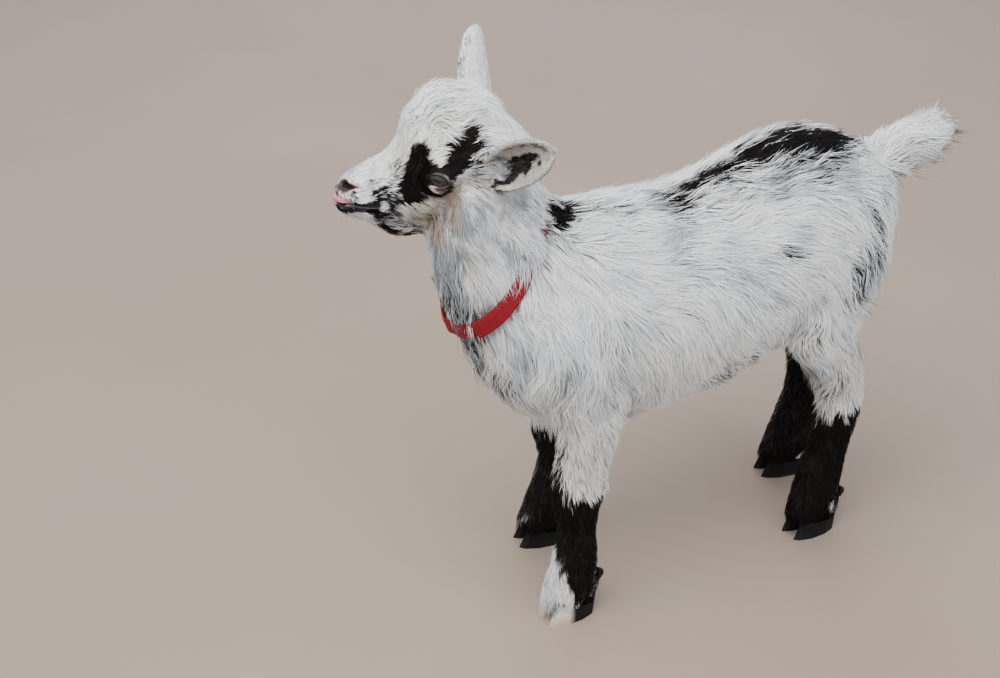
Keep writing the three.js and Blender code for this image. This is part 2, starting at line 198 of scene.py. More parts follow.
@dataclass(frozen=True)
class HeadAxes:
    """The head's own axes: side to the kid's left, forward along the muzzle, up."""

    at: Triple = (-30.006, -154.593, 294.0)
    turn: float = 27.5
    pitch: float = 17.0

    @property
    def rows(self) -> Array:
        """The side, forward and up directions as rows."""
        turn, pitch = math.radians(self.turn), math.radians(self.pitch)
        level = np.array([-math.sin(turn), -math.cos(turn), 0.0])
        up = np.array([0.0, 0.0, 1.0])
        side = np.array([math.cos(turn), -math.sin(turn), 0.0])
        forward = level * math.cos(pitch) - up * math.sin(pitch)
        return np.stack([side, forward, level * math.sin(pitch) + up * math.cos(pitch)])

    def into(self, points: Array) -> Array:
        """Points in the head's axes."""
        return (points - np.array(self.at)) @ self.rows.T

    def out(self, points: Array) -> Array:
        """Points of the head's axes in the body's."""
        return points @ self.rows + np.array(self.at)

    def turned(self, ways: Array) -> Array:
        """Directions of the head's axes in the body's."""
        return ways @ self.rows


HEAD = HeadAxes()


@dataclass
class Place:
    """Where the modeller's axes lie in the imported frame."""

    eye: Triple = (25.2, -2.8, -0.6)
    shift: Array = blank(3)

    def find(self) -> None:
        """Reads the shift off the left eye, whose place in the modeller's axes is known."""
        low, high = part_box("eye_left")
        middle = np.array((low + high) / 2) * METRE
        self.shift = middle - HEAD.out(np.array([self.eye]))[0]

    def metres(self, points: Array) -> Array:
        """Modeller's millimetres to the frame's metres."""
        return (points + self.shift) / METRE

    def millimetres(self, points: Array) -> Array:
        """The frame's metres to the modeller's millimetres."""
        return points * METRE - self.shift


PLACE = Place()


def triangles_of(mesh: Mesh) -> tuple[Array, Array]:
    """Reads a mesh as arrays.

    Args:
        mesh: The mesh, in metres.

    Returns:
        Points in the modeller's millimetres, and corner numbers of its triangles.
    """
    mesh.calc_loop_triangles()
    points = np.empty(len(mesh.vertices) * 3, np.float32)
    mesh.vertices.foreach_get("co", points)
    corners = np.empty(len(mesh.loop_triangles) * 3, np.int32)
    mesh.loop_triangles.foreach_get("vertices", corners)
    return PLACE.millimetres(points.reshape(-1, 3).astype(float)), corners.reshape(-1, 3)


def stand(name: str, data: Any) -> Object:
    """A new object with its data, linked to the scene."""
    made = bpy.data.objects.new(name, data)
    bpy.context.scene.collection.objects.link(made)
    return made


def aim(mover: Object, place: Any, target: Any) -> None:
    """Puts a lamp or camera at one place, looking at another, both in the modeller's millimetres."""
    start, end = (Vector(spot) for spot in PLACE.metres(np.array([place, target], float)))
    mover.location = start
    mover.rotation_euler = (end - start).to_track_quat("-Z", "Y").to_euler()


def mesh_object(name: str, points: Array, faces: Array) -> Object:
    """Makes an object from arrays.

    Args:
        name: Name of the piece.
        points: Points in the modeller's millimetres.
        faces: Corner numbers, all faces with the same number of corners.

    Returns:
        The object, at the origin, smooth shaded.
    """
    mesh = bpy.data.meshes.new(name)
    count, sides = faces.shape
    mesh.vertices.add(len(points))
    mesh.vertices.foreach_set("co", PLACE.metres(points).astype(np.float32).ravel())
    mesh.loops.add(count * sides)
    mesh.loops.foreach_set("vertex_index", faces.astype(np.int32).ravel())
    mesh.polygons.add(count)
    mesh.polygons.foreach_set("loop_start", np.arange(0, count * sides, sides, dtype=np.int32))
    mesh.polygons.foreach_set("loop_total", np.full(count, sides, np.int32))
    mesh.polygons.foreach_set("use_smooth", np.ones(count, bool))
    mesh.update(calc_edges=True)
    return stand(name, mesh)


def paint(mesh: Mesh, name: str, values: Array) -> None:
    """Stores four numbers a point as a colour attribute.

    Args:
        mesh: The mesh.
        name: Name of the attribute.
        values: Four columns, one row for each vertex.
    """
    layer = mesh.attributes.new(name, "FLOAT_COLOR", "POINT")
    layer.data.foreach_set("color", values.astype(np.float32).ravel())


def realised(source: Object, name: str) -> Object:
    """Turns an object with live modifiers into a plain mesh.

    Args:
        source: The object; it is removed.
        name: Name of the plain one.

    Returns:
        The plain object.
    """
    bpy.context.view_layer.update()
    graph = bpy.context.evaluated_depsgraph_get()
    evaluated = source.evaluated_get(graph)
    mesh = bpy.data.meshes.new_from_object(evaluated, preserve_all_data_layers=True, depsgraph=graph)
    mesh.name = name
    bpy.data.objects.remove(source)
    return stand(name, mesh)


def finish_piece(piece: Object, material: Material | None, slot: str, *stands_for: str) -> None:
    """Dresses a piece and ties it to the frame.

    Args:
        piece: The piece.
        material: Its material, or None where it already has one.
        slot: The record's material slot; not used.
        *stands_for: CAD nodes that it replaces.
    """
    if material is not None:
        piece.data.materials.clear()
        piece.data.materials.append(material)
    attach(piece, "root")
    if stands_for:
        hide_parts(*stands_for)
    LOG.info("%s: %d faces", piece.name, len(piece.data.polygons))


class Flesh(IntEnum):
    """The CAD nodes of flesh that one skin replaces."""

    trunk = 0
    neck = 1
    head = 2
    ear_left = 3
    ear_right = 4
    tail = 5
    leg_front_left = 6
    leg_front_right = 7
    leg_hind_left = 8
    leg_hind_right = 9


FRONT_LEGS = (Flesh.leg_front_left, Flesh.leg_front_right)
HIND_LEGS = (Flesh.leg_hind_left, Flesh.leg_hind_right)
LEGS = FRONT_LEGS + HIND_LEGS
EARS = (Flesh.ear_left, Flesh.ear_right)


# ---- markings


@dataclass(frozen=True)
class Patch:
    """A marking: a chain of soft balls, each (x, y, z, radius) in millimetres."""

    chain: tuple[tuple[float, float, float, float], ...]
    share: float = 1.0
    soft: float = 1.6
    ragged: float = 1.6

    def cover(self, points: Array, wander: Array) -> Array:
        """Tells how much of the marking's colour the hair at each point has.

        Args:
            points: Points in the axes of the chain.
            wander: Seeded variation of about -1 to 1 that breaks the edge.

        Returns:
            Shares from 0 to self.share.
        """
        chain = np.array(self.chain, float)
        near = np.full(len(points), 1e9)
        ends = [(chain[0], chain[0])] if len(chain) == 1 else list(zip(chain[:-1], chain[1:]))
        for a, b in ends:
            way = b[:3] - a[:3]
            along = np.clip((points - a[:3]) @ way / max(float(way @ way), 1e-9), 0, 1)
            gap = np.linalg.norm(points - a[:3] - along[:, None] * way, axis=1)
            near = np.minimum(near, gap - (a[3] + (b[3] - a[3]) * along))
        return self.share * ramp(near + wander * self.ragged, self.soft, -self.soft)


def patches(*rows: tuple[Any, ...]) -> tuple[Patch, ...]:
    """Markings from rows of share, softness and raggedness of the edge, and the balls of the chain."""
    return tuple(Patch(row[3:], *row[:3]) for row in rows)


def faded(left: Any, chosen: tuple[Patch, ...], points: Array, wander: Array, where: Any = 1.0) -> Array:
    """What markings leave of the ground's colour.

    Args:
        left: What was left before.
        chosen: The markings.
        points: Points in the axes of the markings.
        wander: Seeded variation that breaks the edges.
        where: Which points may carry them.

    Returns:
        Shares from 0 to 1.
    """
    for patch in chosen:
        left = left * (1 - patch.cover(points, wander) * where)
    return left


@dataclass(frozen=True)
class Markings:
    """The kid's markings, read by the skin and by the coat alike."""

    # On both sides of the head: (side, forward, up, radius) in the head's axes.
    face_black: tuple[Patch, ...] = patches(
        (1, 1.2, 0.6, (27, 5, 17.5, 6.6), (27, 9, 12, 7.8), (26.5, 11, 5, 8.6), (25, 15, -3, 7.6),
         (23.5, 20, -6.5, 5.4)),
        (0.95, 1.2, 0.6, (34.6, -12, 1, 4.4), (34.2, -9, -2.4, 3)),
        (1, 1, 0.4, (31, 2, 9, 4.6), (32, -1, 7, 4)),
        (1, 1, 0.5, (25.5, -27.5, 18.5, 6.4), (31, -20.5, 14, 7.8), (33.5, -14.5, 7.5, 7.8),
         (34.3, -9.5, 4.5, 5)),
        (0.92, 1.5, 1, (24, 19, -8, 5), (28.4, 9.2, -7.2, 3.6), (31, 3.4, -6.5, 2.6)),
        (0.45, 4, 2, (18.5, 33, -15, 6), (17, 28, -24, 6), (14, 24, -32, 5)),
        (0.26, 6, 3, (20, 24, -16, 8), (25, 10, -22, 8)),
        (1, 1, 0.6, (34.5, -8, 4.5, 4), (34, -3, 5.2, 3.6), (31, 3, 5, 4.4), (30, 6, -2, 5),
         (30.5, 4, -6, 3)),
        (0.93, 1, 0.5, (30, 5.6, -3, 3), (31.4, 2.2, -6, 2.6), (32.9, -3.3, -6.6, 2.4),
         (33.4, -7, -5.8, 2.2)),
        (0.5, 3.5, 1.6, (19, 22, 7, 6), (17, 29, 1, 7), (15.5, 35, -3, 5.5)),
        (0.7, 3, 1.6, (22.5, 22, -6, 6), (19, 31, -7, 6), (17, 38, -8, 4.5)),
        (0.48, 3, 1.6, (33, -26, 4, 4.5), (30, -34, 7.5, 4.5)),
        (0.3, 4, 1.6, (33.5, -22, -3, 3), (32.5, -24, -10, 3)),
        (0.86, 2.6, 1, (18, 38, -11.5, 3.6), (17.3, 40, -16, 4.8), (16, 40.5, -21, 5),
         (13, 40, -27, 4.8)),
        (0.72, 3, 1.6, (13, 40, -27, 4.4), (8, 38, -33, 4.2), (6, 31, -36, 3.8)),
        (0.5, 3, 2, (8, 31, -36, 4), (10, 15, -38, 4), (12, 2, -40, 4)),
        (0.55, 1, 1.6, (17, 42, -8.2, 1.6), (16.5, 48.5, -4.4, 1.6), (15, 53, -1.6, 1.5),
         (11, 57, 0.4, 1.3), (6, 60.5, 1.4, 1.2)),
        (0.94, 1, 0.7, (18, 38.5, -12, 2.4), (16.8, 46, -11.2, 2.8), (16, 52, -9.4, 3),
         (14, 57.5, -7.8, 3.2), (9, 61.5, -7.4, 3), (0, 63.5, -7.2, 2.6)),
    )
    lip_dark: tuple[Patch, ...] = patches(
        (1, 0.8, 0.4, (18, 39, -10.8, 1.3), (16.6, 46, -9.8, 1.8), (16, 51.5, -8, 2.2),
         (14.5, 56.5, -6.4, 2.4), (10, 61.5, -5.6, 2.2), (2, 64.2, -5, 1.8)),
        (1, 0.8, 0.3, (7, 56, 4.2, 3.5), (10, 53.4, 3.4, 3.2), (11.4, 50.2, 3, 2),
         (12.8, 46.8, 2.3, 0.9)),
        (0.85, 1, 0.4, (5.6, 58.9, 3.5, 2), (8.7, 57.4, 2, 2)),
        (0.9, 1.2, 0.5, (0, 62.5, 1.2, 2.6), (4, 60.6, 2.6, 3), (4.5, 58, 5, 3),
         (4.5, 55.8, 6.8, 2)),
    )
    face_tan: tuple[Patch, ...] = patches(
        (0.92, 5, 3, (34, -12, -6, 6), (34, -6, -12, 8)),
        (0.45, 6, 3, (33, 0, -24, 9), (25, 8, -33, 8)),
        (0.4, 7, 3, (34, -20, -12, 9), (30, -24, -26, 10)),
        (0.72, 6, 3, (31, 3, -12, 6), (25, 11, -25, 9)),
        (0.5, 6, 3, (26, 12, -20, 8), (20, 26, -21, 8)),
        (0.28, 5, 2, (21, -25, 28, 5), (24, -9, 29, 4)),
    )
    nose_pink: tuple[Patch, ...] = patches(
        (1, 0.6, 0.2, (16.2, 49.5, -7, 0.9), (15.4, 53.5, -4.9, 1.3), (13.5, 57.5, -3.2, 1.5)),
        (0.8, 2, 0.8, (9, 57, 0.8, 2.4), (13, 53, 0.9, 2.6), (14, 48, 0.8, 2.8), (13.5, 45, 2.2, 2.8)),
        (0.6, 2.2, 0.8, (9, 51, 6.4, 2), (11, 47, 5, 2.4)),
        (0.6, 1.5, 0.5, (0, 62.6, -1.5, 1.8)),
        (0.3, 2.5, 1, (9, 60, -12, 3), (0, 66, -12, 3)),
    )
    face_grey: tuple[Patch, ...] = patches(
        (0.62, 5, 3, (19, 34, -14, 7), (22, 20, -18, 10), (28, 6, -22, 10), (30, -8, -28, 10)),
        (0.3, 5, 3, (18, 24, 2, 8)),
        (0.45, 5, 3, (30, -28, 2, 7), (30, -34, -8, 8)),
    )
    # On the body, in the modeller's axes.
    body_grey: tuple[Patch, ...] = patches(
        (0.62, 6, 4, (0, -170, 244, 10), (4, -168, 226, 12), (8, -160, 208, 12), (0, -150, 186, 12)),
        (0.25, 6, 4, (30, -128, 236, 9), (26, -132, 250, 8)),
        (0.45, 7, 5, (18, 10, 262, 10), (30, 60, 264, 16), (28, 95, 264, 14)),
        (0.5, 6, 4, (0, 150, 246, 9), (0, 180, 250, 12), (0, 196, 262, 9)),
        (0.45, 8, 4, (46, 100, 215, 14), (50, 108, 190, 12), (48, 104, 160, 10)),
        (0.5, 6, 4, (48, 80, 122, 10), (40, 84, 104, 9)),
        (0.28, 10, 5, (52, -10, 190, 14), (50, 30, 170, 14)),
        (0.25, 8, 5, (40, -60, 250, 12), (46, -20, 240, 12)),
    )
    body_black_and_leg_shade: tuple[Patch, ...] = patches(
        (1, 2.5, 3, (4, -88, 268, 7), (13, -97, 266, 10), (21, -105, 263, 7)),
        (0.45, 4, 3, (7, -80, 268, 4), (16, -55, 262, 4)),
        (0.35, 3, 3, (41.8, -77, 232.7, 4)),
        (0.25, 4, 4, (31, -90, 248, 5), (22, -100, 256, 4)),
        (1, 4, 4, (15, -21, 261, 9.5), (6, 2, 266, 7.5), (6, 25, 274, 10), (9, 45, 282, 13),
         (12, 63, 285, 17)),
        (1, 4, 4, (12, 63, 285, 17), (13, 82, 283, 18), (12, 98, 279, 13), (0, 128, 268, 3)),
        # Painted shade: a dark streak down the front edge of the left fore leg.
        (0.72, 2.5, 2, (36.8, -112, 124, 2.5), (40, -113.6, 115.5, 4), (42, -114.2, 105, 5),
         (43, -114.6, 94, 5)),
        (0.5, 4, 3, (11, -156, 194, 4), (7, -150, 181, 5), (10, -146, 171, 5), (15, -142, 164, 5),
         (19, -136, 156, 5)),
        (0.36, 6, 4, (50, 84, 122, 9), (40, 80, 108, 8)),
        (0.33, 7, 5, (20, 10, 262, 9), (30, 60, 268, 13), (28, 95, 268, 11)),
        (0.75, 2.5, 2, (53, 41.4, 228.2, 4.5)),
        (0.3, 3, 2, (57, 16.5, 210.3, 4.5)),
        (0.85, 3, 3, (46, 112, 225, 6), (54, 101, 212, 7.5), (58.5, 87, 191, 6.5)),
        (0.8, 2, 2, (34, 126, 238, 3)),
        (0.6, 4, 4, (40, -2, 141, 5), (49, 13, 152, 5.5), (50, 24, 158, 5)),
        (0.35, 4, 4, (51, 54, 172, 5), (45, 70, 150, 5)),
        (0.5, 4, 3, (6, -167, 226, 6), (9, -164, 219, 7), (13, -160, 212, 5)),
        (0.35, 5, 3, (-8, -166, 214, 7), (0, -164, 205, 6)),
        (0.8, 3, 2, (18, -154, 199, 4), (10, -157, 199, 5)),
        (0.6, 4, 4, (0, -148, 184, 7), (2, -147, 168, 8), (20, -143, 165, 7)),
        (0.35, 6, 4, (5, 178, 236, 9), (12, 150, 240, 7)),
        (0.25, 6, 4, (15, 145, 254, 6), (15, 160, 258, 6)),
        (0.75, 3, 4, (-36, 60, 272, 9), (-40, 30, 258, 6)),
        (0.6, 3, 3, (-50, -50, 236, 5)),
    )
    body_tan: tuple[Patch, ...] = patches(
        (0.3, 9, 4, (20, -150, 262, 12), (14, -160, 240, 10)),
        (0.22, 8, 4, (0, 186, 272, 14)),
        (0.22, 12, 5, (45, -105, 150, 18), (42, -95, 110, 14)),
        (0.12, 14, 6, (50, -60, 170, 20), (52, 0, 165, 16)),
        (0.16, 12, 5, (50, 100, 150, 22), (46, 95, 120, 16)),
    )
    ear_cup: tuple[Triple, ...] = ((37.5, -33, -10), (34.5, -40, -7.5), (38, -48, -2.5))
    ear_black: tuple[Patch, ...] = patches(
        (0.95, 1.8, 1.2, (37.5, -31, -11, 4), (34.5, -39, -8, 5.8), (38, -48, -2.5, 5.4),
         (48, -58.7, 5.4, 3.2)),
    )
    ear_rim_and_edge_shadow: tuple[Patch, ...] = patches(
        (0.65, 1.4, 0.5, (41, -41.5, 10, 1.2), (46, -50, 12, 1.2), (53, -62, 12.5, 1.1),
         (56, -66, 8, 0.8)),
        # Painted shadow along the right ear's front edge, where its opening lies in shade.
        (0.5, 2, 0.6, (-37.6, -22.1, 28, 1.6), (-45, -24, 38, 1.5), (-54, -30.5, 47, 1.2)),
    )

    # How far down the neck the head's markings reach, in the head's axes.
    lowest: float = -46.0
    # Heights to which the black stockings reach, leg by leg, the paler heel of the left hind foot, and a
    # painted highlight on the toe of the right fore foot.
    stocking_tops: tuple[float, ...] = (91.0, 92.0, 95.0, 108.0)
    pale_heel_and_toe_highlight: tuple[Patch, ...] = patches(
        (0.5, 2, 1.6, (40, 103.6, 19.7, 4)),
        # Painted highlight on the toe of the right fore foot.
        (0.35, 2, 1.6, (-41, -95, 20, 4)),
    )

    @staticmethod
    def mirrored(points: Array) -> Array:
        """Points in the head's axes, those of the right side turned over to the left."""
        inner = HEAD.into(points)
        inner[:, 0] = np.abs(inner[:, 0])
        return inner

    def on_head(self, points: Array, labels: Array) -> Array:
        """Which points can carry the head's markings."""
        return np.isin(labels, (Flesh.head, Flesh.neck)) & (HEAD.into(points)[:, 2] > self.lowest)

    def black(self, points: Array, labels: Array) -> Array:
        """Share of black at each point.

        Args:
            points: Points on the coat or skin.
            labels: Which flesh node each belongs to, by Flesh number.

        Returns:
            Shares from 0 to 1.
        """
        wander = Waves(3, 9)(points) + 0.6 * Waves(4, 4)(points)
        inner, sided = HEAD.into(points), self.mirrored(points)
        body = ~np.isin(labels, (Flesh.head, *EARS))
        left = faded(1.0, self.face_black, sided, wander, self.on_head(points, labels))
        left = faded(left, self.body_black_and_leg_shade, points, wander, body)
        left = faded(left, self.ear_black, sided, wander, labels == Flesh.ear_left)
        left = faded(left, self.ear_rim_and_edge_shadow, inner, wander, np.isin(labels, EARS))
        return np.clip(1 - left * (1 - self.stockings(points, labels, wander)), 0, 1)

    def stockings(self, points: Array, labels: Array, wander: Array) -> Array:
        """Share of black on the four legs, with the white sock of the left fore foot."""
        _, y, z = points.T
        black = np.zeros(len(points))
        for leg, top in zip(LEGS, self.stocking_tops):
            edge = top + wander * 3.0
            if leg is Flesh.leg_front_left:
                edge = edge + 0.8 * np.clip(-(y + 103), 0, 14)
            black = np.maximum(black, (labels == leg) * ramp(z - edge, 3.0, -3.0))
        sock_edge = -112.5 + np.clip(38 - z, 0, 60) * 0.5
        sock = ramp(y - sock_edge + wander * 1.2, 1.2, -1.2) * ramp(z, 54, 48)
        sock = sock * (labels == Flesh.leg_front_left)
        return faded(black * (1 - sock), self.pale_heel_and_toe_highlight, points, wander)

    def tan(self, points: Array, labels: Array) -> Array:
        """Share of warm beige at each point."""
        wander = Waves(5, 14)(points)
        on_head = self.on_head(points, labels)
        left = faded(1.0, self.face_tan, self.mirrored(points), wander, on_head)
        left = faded(left, self.body_tan, points, wander)
        return 1 - left * (1 - 0.45 * (labels == Flesh.ear_left))

    def dull(self, points: Array, labels: Array) -> Array:
        """How far the pale hair at each point goes to grey."""
        wander = Waves(8, 12)(points)
        on_head = self.on_head(points, labels)
        left = faded(1.0, self.face_grey, self.mirrored(points), wander, on_head)
        return 1 - faded(left, self.body_grey, points, wander, ~np.isin(labels, (Flesh.head, *EARS)))

    def pink(self, points: Array) -> Array:
        """Share of pink skin showing through at each point."""
        return 1 - faded(1.0, self.nose_pink, self.mirrored(points), Waves(6, 6)(points))

    def bare(self, points: Array) -> Array:
        """Share of bare dark skin: lip edges and nostrils."""
        return 1 - faded(1.0, self.lip_dark, self.mirrored(points), Waves(7, 5)(points))


MARKINGS = Markings()


def by_part(labels: Array, ground: Array, table: dict[Flesh, Array]) -> Array:
    """Gives the points of each flesh node the values of its own row.

    Args:
        labels: Which flesh node each point is on.
        ground: Values of the other points; it is filled in.
        table: Values at all points, for each flesh node.

    Returns:
        The filled values.
    """
    for part, values in table.items():
        ground[labels == part] = values[labels == part]
    return ground


# ---- skin


@dataclass
class EyeOpening:
    """The almond between the lids, in the plane that faces the eye."""

    side: int = 1
    centre: Triple = (25.2, -2.8, -0.6)
    radius: float = 9.4
    gaze: Triple = (0.974, 0.202, 0.108)
    lean: float = 30.0
    half: float = 5.8
    upper: float = 3.5
    lower: float = 2.9

    def axes(self) -> tuple[Array, Array]:
        """The ball's centre, and rows for corner line, up and out, in the head's axes."""
        flip = np.array([self.side, 1.0, 1.0])
        out = unit(np.array(self.gaze))
        lean = math.radians(self.lean)
        level = np.array([0.0, math.cos(lean), math.sin(lean)])
        level = unit(level - out * (level @ out))
        up = np.cross(out, level)
        up = up if up[2] > 0 else -up
        return np.array(self.centre) * flip, np.stack([level, up, out]) * flip

    def local(self, points: Array) -> Array:
        """Points in the eye's own axes: along the corner line, up, out."""
        centre, rows = self.axes()
        return (HEAD.into(points) - centre) @ rows.T

    def back(self, local: Array) -> Array:
        """Points of the eye's own axes in the body's."""
        centre, rows = self.axes()
        return HEAD.out(local @ rows + centre)

    def edge(self, local: Array) -> Array:
        """Distance outside the opening's edge in millimetres, negative inside, seen on the ball."""
        on_ball = unit(local) * (self.radius + 0.5)
        x, y = on_ball[:, 0], on_ball[:, 1]
        bow = np.clip(1 - (x / self.half) ** 2, 0, 1)
        top = self.upper * bow**0.75
        bottom = -self.lower * bow**0.9
        inside = np.where(y > 0, y - top, bottom - y)
        corner = np.hypot(np.maximum(np.abs(x) - self.half, 0), y)
        return np.where(np.abs(x) < self.half, inside, corner)


EYES = (EyeOpening(1), EyeOpening(-1))
# The nostril's slit, as side, forward and up in the head's axes: a comma that thins backwards.
NOSTRIL = ((6.4, 55.6, 4.4), (9.2, 53.2, 4.0), (11.2, 50.2, 3.4), (12.8, 46.8, 2.5))


@dataclass
class Skin:
    """One skin over the whole kid, under the coat by the coat's depth."""

    voxel: float = 1.0
    grown: float = 0.5
    budget: int = 132_000
    sinkings: int = 6
    points: Array = blank(0, 3)
    faces: Array = blank(0, 3)
    labels: Array = blank(0)
    depth: Array = blank(0)
    claws: list[Array] = field(default_factory=list)
    outer: Array = blank(0, 3)

    def build(self, nodes: dict[str, Object]) -> None:
        """Makes the skin from copies of the flesh nodes.

        Args:
            nodes: The frame's nodes by name.
        """
        self.points, self.faces = self.thinned(self.joined(nodes))
        self.smooth(10, 0.6)
        self.label(nodes)
        self.close_bed()
        dewclaws = [name for name in sorted(nodes) if name.startswith("dewclaw_")]
        self.claws = [PLACE.millimetres(np.array(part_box(name), float)).mean(0) for name in dewclaws]
        self.sink()
        self.refine()
        self.sculpt()

    def joined(self, nodes: dict[str, Object]) -> Object:
        """Joins grown copies of the flesh nodes, and of the eyes, into one closed surface."""
        gathered = bmesh.new()
        for name in [*(part.name for part in Flesh), "eye_left", "eye_right"]:
            copy = bmesh.new()
            copy.from_mesh(nodes[name].data)
            bmesh.ops.remove_doubles(copy, verts=copy.verts, dist=1e-6)
            copy.normal_update()
            moves = [v.normal.copy() for v in copy.verts]
            for vert, way in zip(copy.verts, moves):
                vert.co += way * self.grown / METRE
            spare = bpy.data.meshes.new("spare")
            copy.to_mesh(spare)
            copy.free()
            gathered.from_mesh(spare)
            bpy.data.meshes.remove(spare)
        mesh = bpy.data.meshes.new("joined")
        gathered.to_mesh(mesh)
        gathered.free()
        body = stand("joined", mesh)
        remesh = body.modifiers.new("Fuse", "REMESH")
        remesh.mode = "VOXEL"
        remesh.voxel_size = self.voxel / METRE
        return realised(body, "joined")

    def thinned(self, body: Object) -> tuple[Array, Array]:
        """Keeps the head fine and thins the rest.

        Args:
            body: The fused body; it is removed.

        Returns:
            Points and triangles.
        """
        points, _ = triangles_of(body.data)
        inner = HEAD.into(points)
        keep = (inner[:, 2] > -44) & (inner[:, 1] > -72) & (points[:, 1] < -100) & (points[:, 2] > 262)
        group = body.vertex_groups.new(name="thin")
        rest = np.flatnonzero(~keep)
        group.add([int(i) for i in rest], 1.0, "REPLACE")
        faces = sum(len(p.vertices) - 2 for p in body.data.polygons)
        thin = body.modifiers.new("Thin", "DECIMATE")
        thin.ratio = min(1.0, self.budget / max(faces, 1))
        thin.vertex_group = "thin"
        plain = realised(body, "thinned")
        made = triangles_of(plain.data)
        bpy.data.objects.remove(plain)
        return self.largest(*made)

    @staticmethod
    def largest(points: Array, faces: Array) -> tuple[Array, Array]:
        """Keeps the largest connected surface only."""
        mark = np.arange(len(points))
        while True:
            low = mark[faces].min(1)
            new = mark.copy()
            for k in range(3):
                np.minimum.at(new, faces[:, k], low)
            new = new[new]
            if (new == mark).all():
                break
            mark = new
        names, counts = np.unique(mark, return_counts=True)
        keep = mark == names[counts.argmax()]
        number = np.cumsum(keep) - 1
        return points[keep], number[faces[keep[faces[:, 0]]]]

    def edges(self) -> Array:
        """The skin's edges, once each."""
        pairs = np.concatenate([self.faces[:, [0, 1]], self.faces[:, [1, 2]], self.faces[:, [2, 0]]])
        pairs.sort(axis=1)
        return np.unique(pairs, axis=0)

    def spread(self, values: Array, edges: Array, rounds: int, pull: float) -> Array:
        """Evens values out over the skin.

        Args:
            values: One row or number for each point.
            edges: The skin's edges.
            rounds: How often.
            pull: How far each goes to its neighbours' mean.

        Returns:
            The evened values.
        """
        flat = values.reshape(len(values), -1).astype(float)
        a, b = edges.T
        count = np.maximum(np.bincount(a, minlength=len(flat)) + np.bincount(b, minlength=len(flat)), 1)
        for _ in range(rounds):
            total = [np.bincount(a, c[b], len(c)) + np.bincount(b, c[a], len(c)) for c in flat.T]
            flat = flat + pull * (rows_of(*total) / count[:, None] - flat)
        return flat.reshape(values.shape)

    def smooth(self, rounds: int, pull: float, where: Array | None = None) -> None:
        """Smooths the skin's points without shrinking it.

        Args:
            rounds: How often.
            pull: Strength.
            where: Share of the smoothing that each point takes.
        """
        edges, even = self.edges(), self.points
        for _ in range(rounds):
            even = self.spread(self.spread(even, edges, 1, pull), edges, 1, -1.06 * pull)
        weight = 1.0 if where is None else where[:, None]
        self.points = self.points + (even - self.points) * weight

    def normals(self) -> Array:
        """Outward directions at the points."""
        a, b, c = (self.points[self.faces[:, k]] for k in range(3))
        face = np.cross(b - a, c - a)
        total = np.zeros_like(self.points)
        for k in range(3):
            for axis in range(3):
                total[:, axis] += np.bincount(self.faces[:, k], face[:, axis], len(self.points))
        return unit(total)

    def label(self, nodes: dict[str, Object]) -> None:
        """Finds which flesh node each point lies on."""
        corners, owner, faces = [], [], []
        start = 0
        for part in Flesh:
            points, tris = triangles_of(nodes[part.name].data)
            corners.append(points)
            faces.append(tris + start)
            owner.append(np.full(len(tris), int(part)))
            start += len(points)
        owners = np.concatenate(owner)
        tree = BVHTree.FromPolygons(np.concatenate(corners).tolist(), np.concatenate(faces).tolist())
        self.labels = np.array([owners[tree.find_nearest(p)[2]] for p in self.points.tolist()])

    def close_bed(self) -> None:
        """Evens out the shallow bed in which the neck band lies."""
        beside = ramp(np.abs(BAND.height(self.points)), 13, 8) * (self.points[:, 1] < BAND.behind)
        beside = beside * np.isin(self.labels, (Flesh.neck, Flesh.trunk))
        even = self.spread(self.points, self.edges(), 40, 0.6)
        self.points = self.points + (even - self.points) * beside[:, None]

    def tips(self) -> Array:
        """The place of the coat's tips over each point of the skin."""
        return self.points + self.normals() * (self.depth + self.grown)[:, None]

    def coat_depth(self) -> Array:
        """How far the coat stands over the skin at each point; the skin comes out to the dewclaws."""
        _, y, z = self.points.T
        side, ahead, up = HEAD.into(self.points).T
        muzzle = curve(ahead, (10, 2.8), (40, 1.8), (60, 1.1))
        crown = ramp(up, 18, 32) * ramp(ahead, 14, 2)
        face = muzzle + (6.0 - muzzle) * crown + (4.5 - muzzle) * ramp(ahead, 0, -24) * (1 - crown)
        face = face + 1.6 * ramp(up, -24, -38) * ramp(ahead, 36, 14)
        eye = np.hypot(ahead + 2.8, up + 0.6)
        face = np.where(np.abs(side) > 16, face * (0.55 + 0.45 * ramp(eye, 8, 20)), face)
        shin = ((12, 1.6), (35, 2.2))
        fore = curve(z, *shin, (62, 2.2), (84, 3.2), (100, 4.4), (150, 6.5), (200, 8.5))
        hind = curve(z, *shin, (66, 2.4), (88, 4.0), (104, 4.8), (150, 7.0), (200, 8.8))
        table = {
            Flesh.head: face,
            Flesh.neck: curve(z, (190, 8.5), (250, 8.0), (285, 4.5)),
            Flesh.tail: curve(y, (120, 8), (150, 8.5), (185, 8.0), (200, 5.0)),
            **dict.fromkeys(EARS, 0 * z),
            **dict.fromkeys(FRONT_LEGS, fore),
            **dict.fromkeys(HIND_LEGS, hind),
        }
        return by_part(self.labels, np.full(len(z), 9.0), table) * (1 - self.by_claw(self.points, 3.5))

    def by_claw(self, points: Array, near: float = 6.0) -> Array:
        """How close points lie to a dewclaw: 1 within the given distance, 0 beyond 10 mm."""
        gap = np.min([np.linalg.norm(points - claw, axis=1) for claw in self.claws], axis=0)
        return ramp(gap, 10.0, near)

